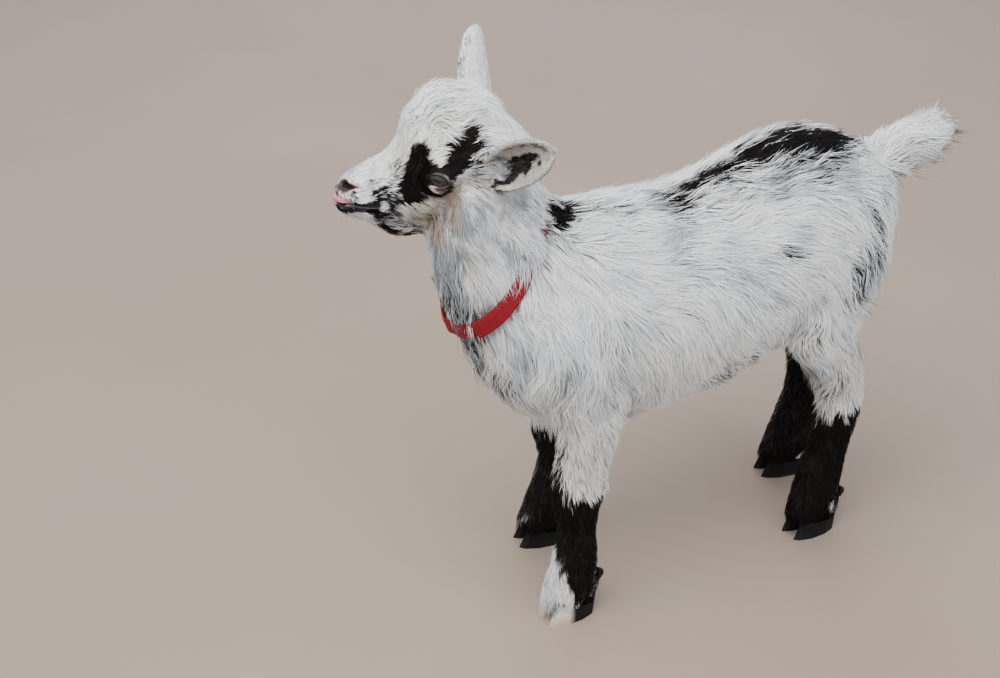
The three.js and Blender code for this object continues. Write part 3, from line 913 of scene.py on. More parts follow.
    def sink(self) -> None:
        """Draws the skin in from the tips of the coat by the coat's depth."""
        edges = self.edges()
        depth = self.spread(self.coat_depth(), edges, 12, 0.5)
        ears = self.spread(np.isin(self.labels, EARS).astype(float), edges, 2, 0.5)
        body = self.spread(1 - np.isin(self.labels, (Flesh.head, *EARS)).astype(float), edges, 6, 0.5)
        for _ in range(self.sinkings):
            self.points = self.points - self.normals() * ((depth + self.grown) / self.sinkings)[:, None]
            even = self.spread(self.points, edges, 3, 0.5)
            self.points = self.points + (even - self.points) * (0.7 * body * (1 - ears))[:, None]
            self.smooth(2, 0.6, (1 - body) * (1 - ears))
        self.depth = depth

    def refine(self) -> None:
        """Splits the faces round the eyes, nostrils and mouth for finer forms."""
        for reach in (7.5, 3.0):
            _, ahead, up = HEAD.into(self.points).T
            fine = (ahead > 38) & (up > -16) & (up < 10) & (reach > 5)
            for eye in EYES:
                local = eye.local(self.points)
                ball = (local[:, 2] > 0) & (np.linalg.norm(local, axis=1) < 22)
                fine |= (np.abs(eye.edge(local)) < reach) & ball
            self.split(fine & (self.labels == Flesh.head))

    def split(self, fine: Array) -> None:
        """Halves the edges between marked points.

        Args:
            fine: Which points ask for a finer mesh.
        """
        work = bmesh.new()
        label = work.verts.layers.float.new("label")
        depth = work.verts.layers.float.new("depth")
        verts = [work.verts.new(p) for p in self.points.tolist()]
        for vert, mark, deep in zip(verts, self.labels.tolist(), self.depth.tolist()):
            vert[label] = mark
            vert[depth] = deep
        for a, b, c in self.faces.tolist():
            work.faces.new((verts[a], verts[b], verts[c]))
        wanted = fine.tolist()
        work.verts.index_update()
        chosen = [e for e in work.edges if wanted[e.verts[0].index] and wanted[e.verts[1].index]]
        bmesh.ops.subdivide_edges(work, edges=chosen, cuts=1, use_grid_fill=True)
        bmesh.ops.triangulate(work, faces=work.faces)
        work.verts.index_update()
        self.points = np.array([v.co[:] for v in work.verts])
        self.labels = np.array([v[label] for v in work.verts]).round().astype(int)
        self.depth = np.array([v[depth] for v in work.verts])
        self.faces = np.array([[v.index for v in f.verts] for f in work.faces])
        work.free()

    def sculpt(self) -> None:
        """Gives the head its lids, nostrils, lips and folds."""
        head = self.labels == Flesh.head
        relax = self.spread(head.astype(float), self.edges(), 2, 0.5)
        self.smooth(2, 0.4, relax)
        self.outer = self.tips()
        self.shape_muzzle(head)
        for eye in EYES:
            self.shape_lids(eye, head)

    def shape_lids(self, eye: EyeOpening, head: Array) -> None:
        """Wraps the lids round the eyeball.

        Args:
            eye: The opening.
            head: Which points are on the head.
        """
        local = eye.local(self.points)
        reach = np.linalg.norm(local, axis=1)
        edge = eye.edge(local)
        near = head & (reach < 21) & (local[:, 2] > -1.0)
        above = local[:, 1] > 0
        # The fold over the upper lid, the shallower one under the lower lid, and the full rim.
        lid = eye.radius + 1.0 - 0.55 * bell(edge, 3.4, 0.8) * above
        lid = lid - 0.30 * bell(edge, 2.6, 0.7) * ~above + 0.25 * bell(edge, 0.7, 0.6)
        outside = lid + np.maximum(reach - lid, 0) * ramp(edge, 2.6, 9.0)
        rolled = outside + (eye.radius + 0.1 - outside) * ramp(edge, 0.35, 0.05)
        wanted = np.where(edge > -0.15, eye.radius + 0.15, eye.radius - 3.2)
        wanted = np.where(edge > 0.0, rolled, wanted)
        wanted = np.where(edge >= 0.35, outside, wanted)
        factor = np.where(near, wanted / np.maximum(reach, 1e-6), 1.0)
        self.points = eye.back(local * factor[:, None]) * near[:, None] + self.points * ~near[:, None]

    def shape_muzzle(self, head: Array) -> None:
        """Cuts the nostrils and the line of the mouth, and rounds the lips."""
        inner = MARKINGS.mirrored(self.tips())
        side, ahead, up = inner.T
        slit = chain_distance(inner, NOSTRIL)
        wide = curve(ahead, (45.5, 0.6), (48.5, 0.9), (51, 1.8), (56, 2.1))
        move = 0 - 3.4 * ramp(slit / wide, 1.1, 0.4)
        move += 0.6 * bell(slit - wide, 1.2, 1.0) * (ahead > 45)
        move -= 0.6 * (bell(side, 0, 0.8) * ramp(ahead, 55, 59) * ramp(up, -4, -1))
        lips = ((38.7, -10.1), (46, -8.6), (50, -7.2), (52.5, -5.2), (56, -3.2), (59, -1.9), (63, -0.9))
        mouth = up - curve(ahead, *lips)
        line = ramp(ahead, 37.5, 40.0)
        gape = curve(ahead, (38, 0.8), (50, 0.9), (54, 1.4), (58, 2.0))
        cleft = mouth + 0.4 * gape
        move -= curve(ahead, (38, 1.6), (50, 1.9), (55, 3.2)) * bell(cleft, 0, gape) * line
        move += 0.6 * bell(np.abs(cleft) - gape, 1.2, 1.0) * line
        # The lower lip hangs a little where the tongue pushes it down.
        move += 0.5 * bell(mouth, -3.2, 1.6) * ramp(ahead, 52, 58)
        self.points = self.points + self.normals() * np.where(head, move, 0)[:, None]

    def dress(self, material: Material) -> None:
        """Makes the skin's object with its markings.

        Args:
            material: The skin's material.
        """
        piece = mesh_object("skin", self.points, self.faces)
        bare = MARKINGS.bare(self.outer)
        for eye in EYES:
            local = eye.local(self.points)
            near = (local[:, 2] > 0) & (np.linalg.norm(local, axis=1) < 18)
            bare = np.maximum(bare, np.where(near, ramp(eye.edge(local), 2.6, 0.8), 0))
        black, tan = (marking(self.outer, self.labels) for marking in (MARKINGS.black, MARKINGS.tan))
        paint(piece.data, "marking", rows_of(black, tan, MARKINGS.pink(self.outer), bare))
        finish_piece(piece, material, "white_coat", *(part.name for part in Flesh))


def chain_distance(points: Array, chain: tuple[tuple[float, ...], ...]) -> Array:
    """Distance of each point from a broken line.

    Args:
        points: The points.
        chain: The line's corners.

    Returns:
        Distances in millimetres.
    """
    near = np.full(len(points), 1e9)
    for start, end in zip(chain[:-1], chain[1:]):
        a, way = np.array(start), np.array(end) - np.array(start)
        along = np.clip((points - a) @ way / float(way @ way), 0, 1)
        near = np.minimum(near, np.linalg.norm(points - a - along[:, None] * way, axis=1))
    return near


# ---- the coat


@dataclass(frozen=True)
class NeckBand:
    """Where the band runs round the neck."""

    at: Triple = (-6.0, -129.0, 241.7)
    lean: float = 54.0
    width: float = 9.0
    behind: float = -80.0

    def near(self, points: Array, labels: Array) -> Array:
        """Which points are on the parts that the band lies on, in front of the shoulders."""
        return np.isin(labels, (Flesh.neck, Flesh.trunk, Flesh.head)) & (points[:, 1] < self.behind)

    @property
    def axis(self) -> Array:
        """The direction of the ring's axis, towards the head."""
        lean = math.radians(self.lean)
        return np.array([0.0, -math.sin(lean), math.cos(lean)])

    def height(self, points: Array) -> Array:
        """Distance of points along the ring's axis."""
        return (points - np.array(self.at)) @ self.axis

    def angle(self, points: Array) -> Array:
        """Angle of points round the ring: 0 at the kid's left, 90 at the nape, in degrees."""
        deep = np.cross(self.axis, [1.0, 0.0, 0.0])
        gap = points - np.array(self.at)
        return np.degrees(np.arctan2(gap @ deep, gap[:, 0]))

    def hem(self, angle: Array) -> Array:
        """Height down to which the neck's hair hangs over the band, by the angle in degrees."""
        free = -60.0
        throat = ((-180, free), (-118, free), (-112, 2.0), (-94, 2.0), (-91, free), (-64, free), (-61, 2.5))
        side = ((-62, 3.4), (-45, 3.2), (-30, 2.4), (-15, 0.8), (-5, -1.2), (2, -3.0), (6, -8))
        return curve(angle, *throat, *side, (9, free), (180, free))

    def sunk(self, angle: Array) -> Array:
        """How deep the band lies in the coat, by the angle in degrees."""
        hidden = 4.4
        throat = ((-180, hidden), (-124, hidden), (-110, 0.9), (-94, 0.9), (-88, 3.2), (-68, 3.2))
        return curve(angle, *throat, (-60, 0.3), (-40, 0.3), (-12, 1.4), (8, hidden), (180, hidden))


BAND = NeckBand()


# Each ear from its base to its tip, in the head's axes.
EAR_AXES = (
    (Flesh.ear_left, (31.0, -31.0, -5.0), (62.5, -62.5, 10.0)),
    (Flesh.ear_right, (-31.0, -23.5, 0.0), (-67.0, -29.5, 47.5)),
)

# Swirls of the hair: place in the head's axes, radius in millimetres, and turn in radians.
SWIRLS = (
    (20, -26, 28, 8, 1.7),
    (25, -13, 27, 7, -1.5),
    (24, -2, 26, 6, 1.3),
    (6, -10, 38, 8, 1.2),
    (-16, -18, 34, 9, -1.5),
    (-24, -4, 26, 7, 1.2),
)


def leaned(way: Array, *turns: tuple[Array, tuple[Any, ...]]) -> Array:
    """Directions that go over to others, one after another, each by its share."""
    for share, value in turns:
        way = way + share[:, None] * (rows_of(*value) - way)
    return way


@dataclass
class Lie:
    """The way the hair lies: its direction, length and path from every point of the skin."""

    skin: Skin
    ways: Array = blank(0, 3)
    normal: Array = blank(0, 3)
    length: Array = blank(0)
    halfway: Array = blank(0, 3)
    end: Array = blank(0, 3)
    normal_halfway: Array = blank(0, 3)
    normal_end: Array = blank(0, 3)

    def build(self) -> None:
        """Works out the direction and the path at every point of the skin."""
        skin = self.skin
        edges = skin.edges()
        self.normal = skin.normals()
        hair = unit(skin.spread(self.normal, edges, 3, 0.5))
        guide = self.guides(hair)
        guide = guide - hair * dot(guide, hair)[:, None]
        guide = skin.spread(guide, edges, 14, 0.6)
        guide = unit(guide - hair * dot(guide, hair)[:, None])
        turn = 0.20 * Waves(11, 46)(skin.points) + 0.16 * Waves(12, 17)(skin.points)
        turn = turn * ramp(skin.depth, 2.5, 8) + self.whorls()
        self.ways = guide * np.cos(turn)[:, None] + np.cross(hair, guide) * np.sin(turn)[:, None]
        _, y, z = skin.points.T
        _, ahead, up = HEAD.into(skin.points).T
        head = skin.labels == Flesh.head
        self.length = curve(skin.depth, (0.0, 3.4), (1.2, 3.6), (2, 5.6), (4.5, 10.5), (6, 13), (9, 25))
        feet = np.isin(skin.labels, LEGS) * ramp(z, 36, 22)
        white_foot = (skin.labels == Flesh.leg_front_left) * ramp(z, 30, 20)
        claw, crest = skin.by_claw(skin.points), head * ramp(up, 20, 32)
        self.length = self.length + 3.5 * feet + 6.0 * white_foot + 6.0 * claw + 3.0 * crest
        brush = (skin.labels == Flesh.tail) * ramp(y, 165, 195)
        self.length = self.length * (1 - 0.45 * (head * ramp(ahead, 46, 54))) * (1 - 0.4 * brush)
        self.trace(hair)

    def guides(self, hair: Array) -> Array:
        """The coat's rough direction by the part of the body.

        Args:
            hair: Smoothed outward directions.

        Returns:
            Directions, not yet flat on the skin.
        """
        points = self.skin.points
        _, y, z = points.T
        high, nape = ramp(z, 165, 258), ramp(hair[:, 1], -0.1, 0.7)
        # Over the barrel the hair runs back and down, and turns at haunch, shoulder, belly and chest.
        trunk = leaned(
            rows_of(0, 0.45 + 0.6 * high, -(0.95 - 0.88 * high)),
            (ramp(y, 55, 95) * ramp(z, 262, 235), (0, 0.30, -1.1)),
            (ramp(y, -50, -85) * ramp(z, 258, 230), (0, 0.42, -0.95)),
            (ramp(hair[:, 2], -0.45, -0.85), (0, 1.0, -0.1)),
            (ramp(y, -120, -140), (0, 0.15, -1.0)),
        )
        leg = rows_of(0, 0.10 + 0.16 * ramp(z, 70, 110), -1)
        table = {
            Flesh.trunk: trunk,
            Flesh.neck: rows_of(0.10, 0.34 + 0.35 * nape, -0.92 + 0.2 * nape),
            Flesh.head: self.head_guides(hair),
            Flesh.tail: rows_of(0, 0.9, 0.25 + 0.75 * np.minimum(hair[:, 2], 0)),
            **dict.fromkeys(LEGS, leg + ramp(z, 26, 14)[:, None] * np.array([0, -0.25, 0])),
        }
        for ear, base, tip in EAR_AXES:
            out = HEAD.turned(unit(np.array(tip, float) - np.array(base, float))[None])[0]
            table[ear] = np.zeros_like(points) + out
        return by_part(self.skin.labels, np.zeros_like(points), table)

    def head_guides(self, hair: Array) -> Array:
        """The coat's rough direction on the head."""
        side, ahead, up = HEAD.into(self.skin.points).T
        face = hair @ HEAD.rows.T
        sign = np.sign(side)
        # Back along the head, and turned on cheek, throat, brow, crown, poll, lip and chin.
        way = leaned(
            rows_of(0, -1, 0.12 + 0 * side),
            (ramp(np.abs(face[:, 0]), 0.35, 0.8) * ramp(up, 8, -12) * ramp(ahead, 40, 25), (0, -0.75, -0.75)),
            (ramp(face[:, 2], -0.2, -0.7), (0, -1.0, -0.1)),
            (ramp(up, 10, 22) * ramp(ahead, -14, 0), (0.25 * sign, -0.55, 0.85)),
            (ramp(up, 22, 34) * ramp(ahead, 0, -14), (0.25 * sign, -1.0, 0.1)),
            (ramp(ahead, -24, -40), (0.1 * sign, -0.75, -0.65)),
            (ramp(ahead, 44, 52) * ramp(np.abs(up + 2), 5, 2), (0.3 * sign, -0.6, -0.8)),
            (ramp(ahead, 40, 50) * ramp(up, -10, -14), (0, -0.7, -0.7)),
        )
        return HEAD.turned(unit(way))

    def whorls(self) -> Array:
        """Extra turn of the hair, in radians, where it swirls on the forehead and poll."""
        inner = HEAD.into(self.skin.points)
        turn = np.zeros(len(inner))
        for *middle, size, angle in SWIRLS:
            turn += angle * bell(np.linalg.norm(inner - np.array(middle), axis=1), 0, size)
        return turn * (self.skin.labels == Flesh.head)

    def trace(self, hair: Array) -> None:
        """Follows the hair's path over the skin in two steps.

        Args:
            hair: Smoothed outward directions.
        """
        skin = self.skin
        tree = BVHTree.FromPolygons(skin.points.tolist(), skin.faces.tolist())
        ways = self.ways
        place = skin.points
        found: list[tuple[Array, Array]] = []
        for _ in range(2):
            aim = place + ways * (0.5 * self.length)[:, None]
            hits = [tree.find_nearest(p) for p in aim.tolist()]
            place = np.array([h[0][:] for h in hits])
            corners = skin.faces[np.array([h[2] for h in hits])]
            over = unit(hair[corners].mean(1))
            ways = self.ways[corners].mean(1)
            ways = unit(ways - over * dot(ways, over)[:, None])
            found.append((place, over))
        (self.halfway, self.normal_halfway), (self.end, self.normal_end) = found
        # Where the path jumps to another limb, it goes straight instead.
        straight = np.linalg.norm(self.end - skin.points, axis=1) < 0.45 * self.length
        # Hair over the hooves hangs straight down past the end of the skin.
        straight |= np.isin(skin.labels, LEGS) & (skin.points[:, 2] < 32)
        for where, share in ((self.halfway, 0.5), (self.end, 1.0)):
            where[straight] = (skin.points + self.ways * (share * self.length)[:, None])[straight]


@dataclass(frozen=True)
class CoatPart:
    """One piece of the coat: where it grows, how many tufts it has and what its map unrolls round."""

    name: str
    flesh: Flesh
    tufts: int
    at: Triple = (0, 0, 220)
    way: Triple = (0, 1, 0)
    side: int = 0
    fore: int = 0
    on_head: bool = False
    lock: float = 0.35
    per_lock: int = 22


TRUNK = {"flesh": Flesh.trunk, "tufts": 24000}
FACE = {"flesh": Flesh.head, "at": (0, 0, 0), "on_head": True, "lock": 0.25, "per_lock": 12}
EAR = {"tufts": 7000, "on_head": True, "lock": 0.2, "per_lock": 6}
SHANK = {"way": (0, 0, 1), "lock": 0.3, "per_lock": 14}
THIGH = {"way": (0, 0, 1), "lock": 0.35, "per_lock": 18}
COAT_PARTS = (
    CoatPart("coat_trunk_fore_left", side=1, fore=1, **TRUNK),
    CoatPart("coat_trunk_fore_right", side=-1, fore=1, **TRUNK),
    CoatPart("coat_trunk_hind_left", side=1, fore=-1, **TRUNK),
    CoatPart("coat_trunk_hind_right", side=-1, fore=-1, **TRUNK),
    CoatPart("coat_neck", Flesh.neck, 25000, (-6, -125, 240), (-0.17, -0.44, 0.88), lock=0.3),
    CoatPart("coat_head_left", tufts=28000, side=1, **FACE),
    CoatPart("coat_head_right", tufts=25000, side=-1, **FACE),
    CoatPart("coat_ear_left", Flesh.ear_left, at=(45, -45, 0), way=(0.66, -0.66, 0.28), **EAR),
    CoatPart("coat_ear_right", Flesh.ear_right, at=(-48, -24, 24), way=(-0.6, -0.08, 0.8), **EAR),
    CoatPart("coat_tail", Flesh.tail, 8500, (0, 150, 255), (0, 1, 0.2), lock=0.4),
    CoatPart("coat_leg_front_left", Flesh.leg_front_left, 11000, (39, -97, 90), **SHANK),
    CoatPart("coat_leg_front_right", Flesh.leg_front_right, 10000, (-41, -75, 90), **SHANK),
    CoatPart("coat_leg_hind_left", Flesh.leg_hind_left, 15000, (36, 92, 100), **THIGH),
    CoatPart("coat_leg_hind_right", Flesh.leg_hind_right, 13000, (-38, 110, 100), **THIGH),
)

# A tuft has five points: its root, three corners at its widest place, 0.42 along it, and its tip.
TUFT = 5
WIDEST = 0.42
CORNERS = tuple(math.pi / 2 + corner * 2 * math.pi / 3 for corner in range(3))


@dataclass
class Coat:
    """The coat: solid tufts that follow the lie of the hair."""

    skin: Skin
    lie: Lie
    thin: float = 1.0
    patch: float = 0.003

    def fields(self) -> Array:
        """Everything that a tuft reads off the skin, one row for each point."""
        skin, lie = self.skin, self.lie
        whole = (skin.points, lie.normal, lie.halfway, lie.end, lie.normal_halfway, lie.normal_end)
        return np.column_stack([*whole, skin.depth, lie.length, MARKINGS.bare(skin.outer)])

    def grow(self, material: Material) -> None:
        """Makes every piece of the coat.

        Args:
            material: The hair's material.
        """
        values = self.fields()
        density = curve(self.lie.length, (3, 1.9), (6, 1.5), (12, 0.95), (25, 0.5))
        ahead = HEAD.into(self.skin.points)[:, 1]
        density = density * (1 + 0.5 * ((self.skin.labels == Flesh.head) * ramp(ahead, -10, 20)))
        corners = self.skin.points[self.skin.faces]
        way = np.cross(corners[:, 1] - corners[:, 0], corners[:, 2] - corners[:, 0])
        weight = np.linalg.norm(way, axis=1) / 2 * density[self.skin.faces].mean(1)
        for index, part in enumerate(COAT_PARTS):
            self.piece(part, index, values, weight, material)

    def choose(self, part: CoatPart, weight: Array, rng: Draw) -> tuple[Array, Array]:
        """Draws the tufts' roots on one part of the skin.

        Args:
            part: The part.
            weight: How many tufts each face asks for.
            rng: The part's own random numbers.

        Returns:
            Face numbers, and the shares of the three corners.
        """
        labels = self.skin.labels[self.skin.faces]
        allowed = labels[:, 0] == part.flesh
        middle = self.skin.points[self.skin.faces].mean(1)
        if part.side:
            across = HEAD.into(middle)[:, 0] if part.on_head else middle[:, 0]
            allowed &= across * part.side > 0
        if part.fore:
            allowed &= (middle[:, 1] < 0) == (part.fore > 0)
        share = np.cumsum(weight * allowed)
        count = max(int(part.tufts * self.thin), 50)
        faces = np.searchsorted(share, rng.uniform(0, share[-1], count))
        u, v = rng.uniform(0, 1, (2, count))
        fold = u + v > 1
        u, v = np.where(fold, 1 - u, u), np.where(fold, 1 - v, v)
        return faces, np.stack([1 - u - v, u, v], axis=1)

    def piece(self, part: CoatPart, index: int, values: Array, weight: Array, material: Material) -> None:
        """Makes one piece of the coat.

        Args:
            part: What to make.
            index: Number of the part, for its random numbers.
            values: The skin's fields.
            weight: How many tufts each face asks for.
            material: The hair's material.
        """
        rng = np.random.default_rng(SEED + index)
        faces, shares = self.choose(part, weight, rng)
        labels = self.skin.labels[self.skin.faces[faces, 0]]
        row = (values[self.skin.faces[faces]] * shares[:, :, None]).sum(1)
        keep = (row[:, 20] < 0.4) & self.allowed(row, labels, rng)
        row, labels = row[keep], labels[keep]
        root, half, end, depth, length = row[:, 0:3], row[:, 6:9], row[:, 9:12], row[:, 18], row[:, 19]
        normal, over_half, over_end = (unit(row[:, k : k + 3]) for k in (3, 12, 15))
        count = len(root)
        own = rng.normal(0, 1, (6, count))
        leader = self.locks(root, max(count // part.per_lock, 1))
        lock = own[:, leader]
        broad = own[:, self.locks(root, max(count // (10 * part.per_lock), 1))]
        soft = ramp(length, 4, 14)
        fluff = (labels == Flesh.head) * ramp(HEAD.into(root)[:, 2], 16, 30)
        turn = (0.10 * own[0] + 0.12 * lock[1]) * (0.5 + 0.5 * soft + 1.6 * fluff)
        stretch = np.clip(1 + 0.14 * own[2] + 0.10 * lock[3], 0.55, 1.3)
        rise = np.clip(0.88 + 0.10 * own[4] + 0.10 * lock[4] + fluff * (0.5 + 0.45 * own[5]), 0.45, 2.2)
        # One tuft in fifty strays from the rest.
        stray = (rng.uniform(0, 1, count) < 0.02) * ramp(length, 5, 12) * (labels != Flesh.tail)
        rise = rise + stray * rng.uniform(0.15, 0.5, count)
        limit, over = self.band_limit(root, end, labels, rng)
        stretch = stretch * limit
        width = curve(length, (3, 0.36), (6, 0.42), (12, 0.52), (25, 0.64))
        width = width * rng.uniform(0.7, 1.2, count) * np.where(stray > 0, 0.6, 1.0) * (1 - 0.2 * fluff)
        width = width / math.sqrt(self.thin)

        def swing(way: Array) -> Array:
            """Turns a way on the skin by the tuft's own angle."""
            return way * np.cos(turn)[:, None] + np.cross(normal, way) * np.sin(turn)[:, None]

        half_way, end_way = swing(half - root), swing(end - root)
        wobble = (0.05 * lock[5] + 0.025 * own[5]) * length * soft
        half_way = half_way + np.cross(normal, unit(end_way)) * wobble[:, None]
        # The tips of a lock draw together to its leader's.
        pull = part.lock * rng.uniform(0.4, 1.1, count) * soft
        tips = root + end_way
        end_way = end_way + (tips[leader] - tips) * pull[:, None]
        middles = root + half_way
        half_way = half_way + (middles[leader] - middles) * (0.35 * pull)[:, None]
        tight = np.clip(limit, 0.85, 1) * (1 + 0.22 * over)
        height = np.maximum(depth, 1.0 + 3.0 * self.skin.by_claw(root)) * rise * tight
        half_lift = over_half * (height * 0.80)[:, None]
        end_lift = over_end * height[:, None]

        def at(share: float) -> Array:
            """The place on each tuft's line at a share of its length."""
            s = (stretch * share)[:, None]
            flat = half_way * (4 * s - 4 * s * s) + end_way * (2 * s * s - s)
            lift = half_lift * (4 * s - 4 * s * s) + end_lift * (2 * s * s - s)
            return root + flat + lift - normal * 0.2

        line = [at(share) for share in (0.0, WIDEST, 1.0)]
        for clear, place in zip((0.6, 0.9), line[1:]):
            place[:, 2] = np.maximum(place[:, 2], clear)
        shade, black, tan = self.colours(at(0.62), labels, own, lock, broad)
        out = unit(normal + over_half)
        points, table = self.spindles(line, out, width, rng)
        piece = mesh_object(part.name, points, table)
        marks = [np.repeat(share, TUFT) for share in (black, tan, shade)]
        paint(piece.data, "strand", rows_of(*marks, np.tile([0.0, WIDEST, WIDEST, WIDEST, 1.0], count)))
        self.lay_out(piece.data, part, root, table)
        bend = unit(0.82 * np.repeat(out, TUFT, axis=0) + 0.18 * self.radial(points))
        piece.data.normals_split_custom_set_from_vertices(bend.tolist())
        finish_piece(piece, material, "white_coat")

    def allowed(self, row: Array, labels: Array, rng: Draw) -> Array:
        """Tells which roots may carry a tuft: none on or over bare skin, on lids or under the neck band.

        Args:
            row: The fields at the roots.
            labels: Which flesh node each is on.
            rng: The part's own random numbers.

        Returns:
            True where a tuft may grow.
        """
        root, end = row[:, 0:3], row[:, 9:12]
        lift = unit(row[:, 3:6]) * (row[:, 18] + 0.5)[:, None]
        keep = (MARKINGS.bare(root + lift) < 0.45) & (MARKINGS.bare(0.4 * root + 0.6 * end + lift) < 0.6)
        for eye in EYES:
            local = eye.local(root)
            close = (local[:, 2] > -2) & (np.linalg.norm(local, axis=1) < 17)
            keep &= ~(close & (eye.edge(local) < 1.5))
        keep &= ~((np.abs(BAND.height(root)) < 3.8) & BAND.near(root, labels))
        cup = (labels == Flesh.ear_left) & (chain_distance(HEAD.into(root), MARKINGS.ear_cup) < 4.5)
        return keep & ~(cup & (rng.uniform(0, 1, len(root)) < 0.6))

    @staticmethod
    def locks(root: Array, count: int) -> Array:
        """Gives each root the number of the nearest of the first few roots.

        Args:
            root: The roots.
            count: How many locks there are.

        Returns:
            The number of the tuft that each one gathers to.
        """
        tree = KDTree(count)
        for k, point in enumerate(root[:count].tolist()):
            tree.insert(point, k)
        tree.balance()
        return np.array([tree.find(p)[1] for p in root.tolist()])

    @staticmethod
    def band_limit(root: Array, end: Array, labels: Array, rng: Draw) -> tuple[Array, Array]:
        """Shortens hair that would cross the neck band where the band lies open.

        Args:
            root: The roots.
            end: The tips.
            labels: Which flesh node each root is on.
            rng: The part's own random numbers.

        Returns:
            Share of each hair's length that stays, and whether it lies over the band.
        """
        start, stop = BAND.height(root), BAND.height(end)
        beside = BAND.near(root, labels)
        reach = BAND.hem(BAND.angle(root)) + rng.normal(0, 0.8, len(root))
        crossing = beside & (start > 3.0) & (stop < reach)
        room = (start - reach) / np.maximum(start - stop, 1e-3)
        kept = np.where(crossing, np.clip(room, 0.12, 1), 1.0)
        last = start + (stop - start) * kept
        return kept, (beside & (start > 3.0) & (last < 4.0)).astype(float)

    @staticmethod
    def colours(where: Array, labels: Array, own: Array, lock: Array, broad: Array) -> tuple[Array, ...]:
        """Each tuft's shade, and its shares of black and tan, from the markings.

        Args:
            where: A place along each tuft.
            labels: Which flesh node each is on.
            own: Random numbers of the tuft.
            lock: The same of its lock.
            broad: The same of its wide lock.

        Returns:
            Shade from 0, grey, to 1, white; share of black; share of tan.
        """
        share = MARKINGS.black(where, labels)
        chance = np.clip(0.5 + 0.30 * own[3] + 0.14 * lock[2], 0.05, 0.90)
        black = ramp(share - chance, -0.05, 0.05)
        tan = np.clip(MARKINGS.tan(where, labels) * (1 + 0.2 * own[1] + 0.15 * lock[1]), 0, 1)
        cool = 0.5 * Waves(21, 60)(where) + 0.5 * Waves(22, 16)(where)
        ear = np.isin(labels, EARS)
        on_head = ear | (labels == Flesh.head)
        # In front of the shoulders the hair is greyer: partly its own grey on neck and chest, partly painted
        # shade under the throat and chest.
        front = ramp(where[:, 1], -88, -130) * ~on_head
        shade = 0.68 - 0.22 * front - 0.15 * ear + (0.10 + 0.12 * ear) * own[4]
        shade = shade + 0.11 * lock[0] + 0.11 * broad[0] - 0.18 * cool
        # Some locks are darker grey: partly the hair's own grey streaks, partly painted shadow between the
        # locks.
        streak = ramp(lock[1], 1.1, 1.7) * (own[2] > -0.6) * ~on_head
        shade = shade - 0.40 * streak + 0.14 * on_head * ramp(HEAD.into(where)[:, 2], 8, 22)
        shade = shade - MARKINGS.dull(where, labels) * (0.55 + 0.20 * own[4])
        return np.clip(shade, 0.02, 1), black, tan

    @staticmethod
    def spindles(line: list[Array], normal: Array, width: Array, rng: Draw) -> tuple[Array, Array]:
        """Closed thin spindles of six triangles, flat against the body.

        Args:
            line: Root, widest place and tip, one array of points each.
            normal: The skin's outward directions.
            width: Greatest widths.
            rng: The part's own random numbers.

        Returns:
            Points, five for each tuft, and triangles.
        """
        root, middle, tip = line
        run = unit(tip - root)
        across = unit(np.cross(run, normal))
        out = np.cross(across, run)
        roll = rng.normal(0, 0.35, len(root))[:, None]
        across, out = across * np.cos(roll) + out * np.sin(roll), out * np.cos(roll) - across * np.sin(roll)
        columns = [root]
        for angle in CORNERS:
            flat = across * (math.cos(angle) * width / 2)[:, None]
            columns.append(middle + flat + out * (0.4 * math.sin(angle) * width / 2)[:, None])
        points = np.stack([*columns, tip], axis=1)
        faces = np.array([(0, 1, 2), (1, 4, 2), (0, 2, 3), (2, 4, 3), (0, 3, 1), (3, 4, 1)])
        table = faces[None] + TUFT * np.arange(len(root))[:, None, None]
        return points.reshape(-1, 3), table.reshape(-1, 3)

    @staticmethod
    def radial(points: Array) -> Array:
        """Outward direction of each point from its tuft's own line."""
        grid = points.reshape(-1, TUFT, 3)
        out = np.zeros_like(grid)
        out[:, 1:4] = grid[:, 1:4] - grid[:, 1:4].mean(1, keepdims=True)
        out[:, 0] = out[:, 4] = out[:, 1]
        return unit(out).reshape(-1, 3)

    def lay_out(self, mesh: Mesh, part: CoatPart, root: Array, faces: Array) -> None:
        """Gives each tuft a small patch at its root's place on an unwrap of the skin.

        Args:
            mesh: The piece's mesh.
            part: The part, with the axis that the skin is unrolled round.
            root: The tufts' roots.
            faces: The mesh's triangles.
        """
        way = unit(np.array(part.way, float))
        gap = (HEAD.into(root) if part.on_head else root) - np.array(part.at, float)
        first = unit(np.cross(way, [0.0, 0.0, 1.0] if abs(way[2]) < 0.8 else [1.0, 0.0, 0.0]))
        columns = np.arctan2(gap @ np.cross(way, first), gap @ first), gap @ way
        spots = rows_of(*((c - c.min()) / max(float(np.ptp(c)), 1e-6) * 0.97 + 0.015 for c in columns))
        spoke = [(0.0, -0.5), *((0.4 * math.cos(a), 0.3 * math.sin(a)) for a in CORNERS), (0.0, 0.5)]
        grid = spots[:, None, :] + np.array(spoke)[None] * self.patch
        layer = mesh.uv_layers.new(name="OFBake")
        layer.data.foreach_set("uv", grid.reshape(-1, 2)[faces.ravel()].astype(np.float32).ravel())


# ---- finishes


RGBA = {"data_type": "RGBA"}
SMOOTH = {"interpolation_type": "SMOOTHSTEP"}


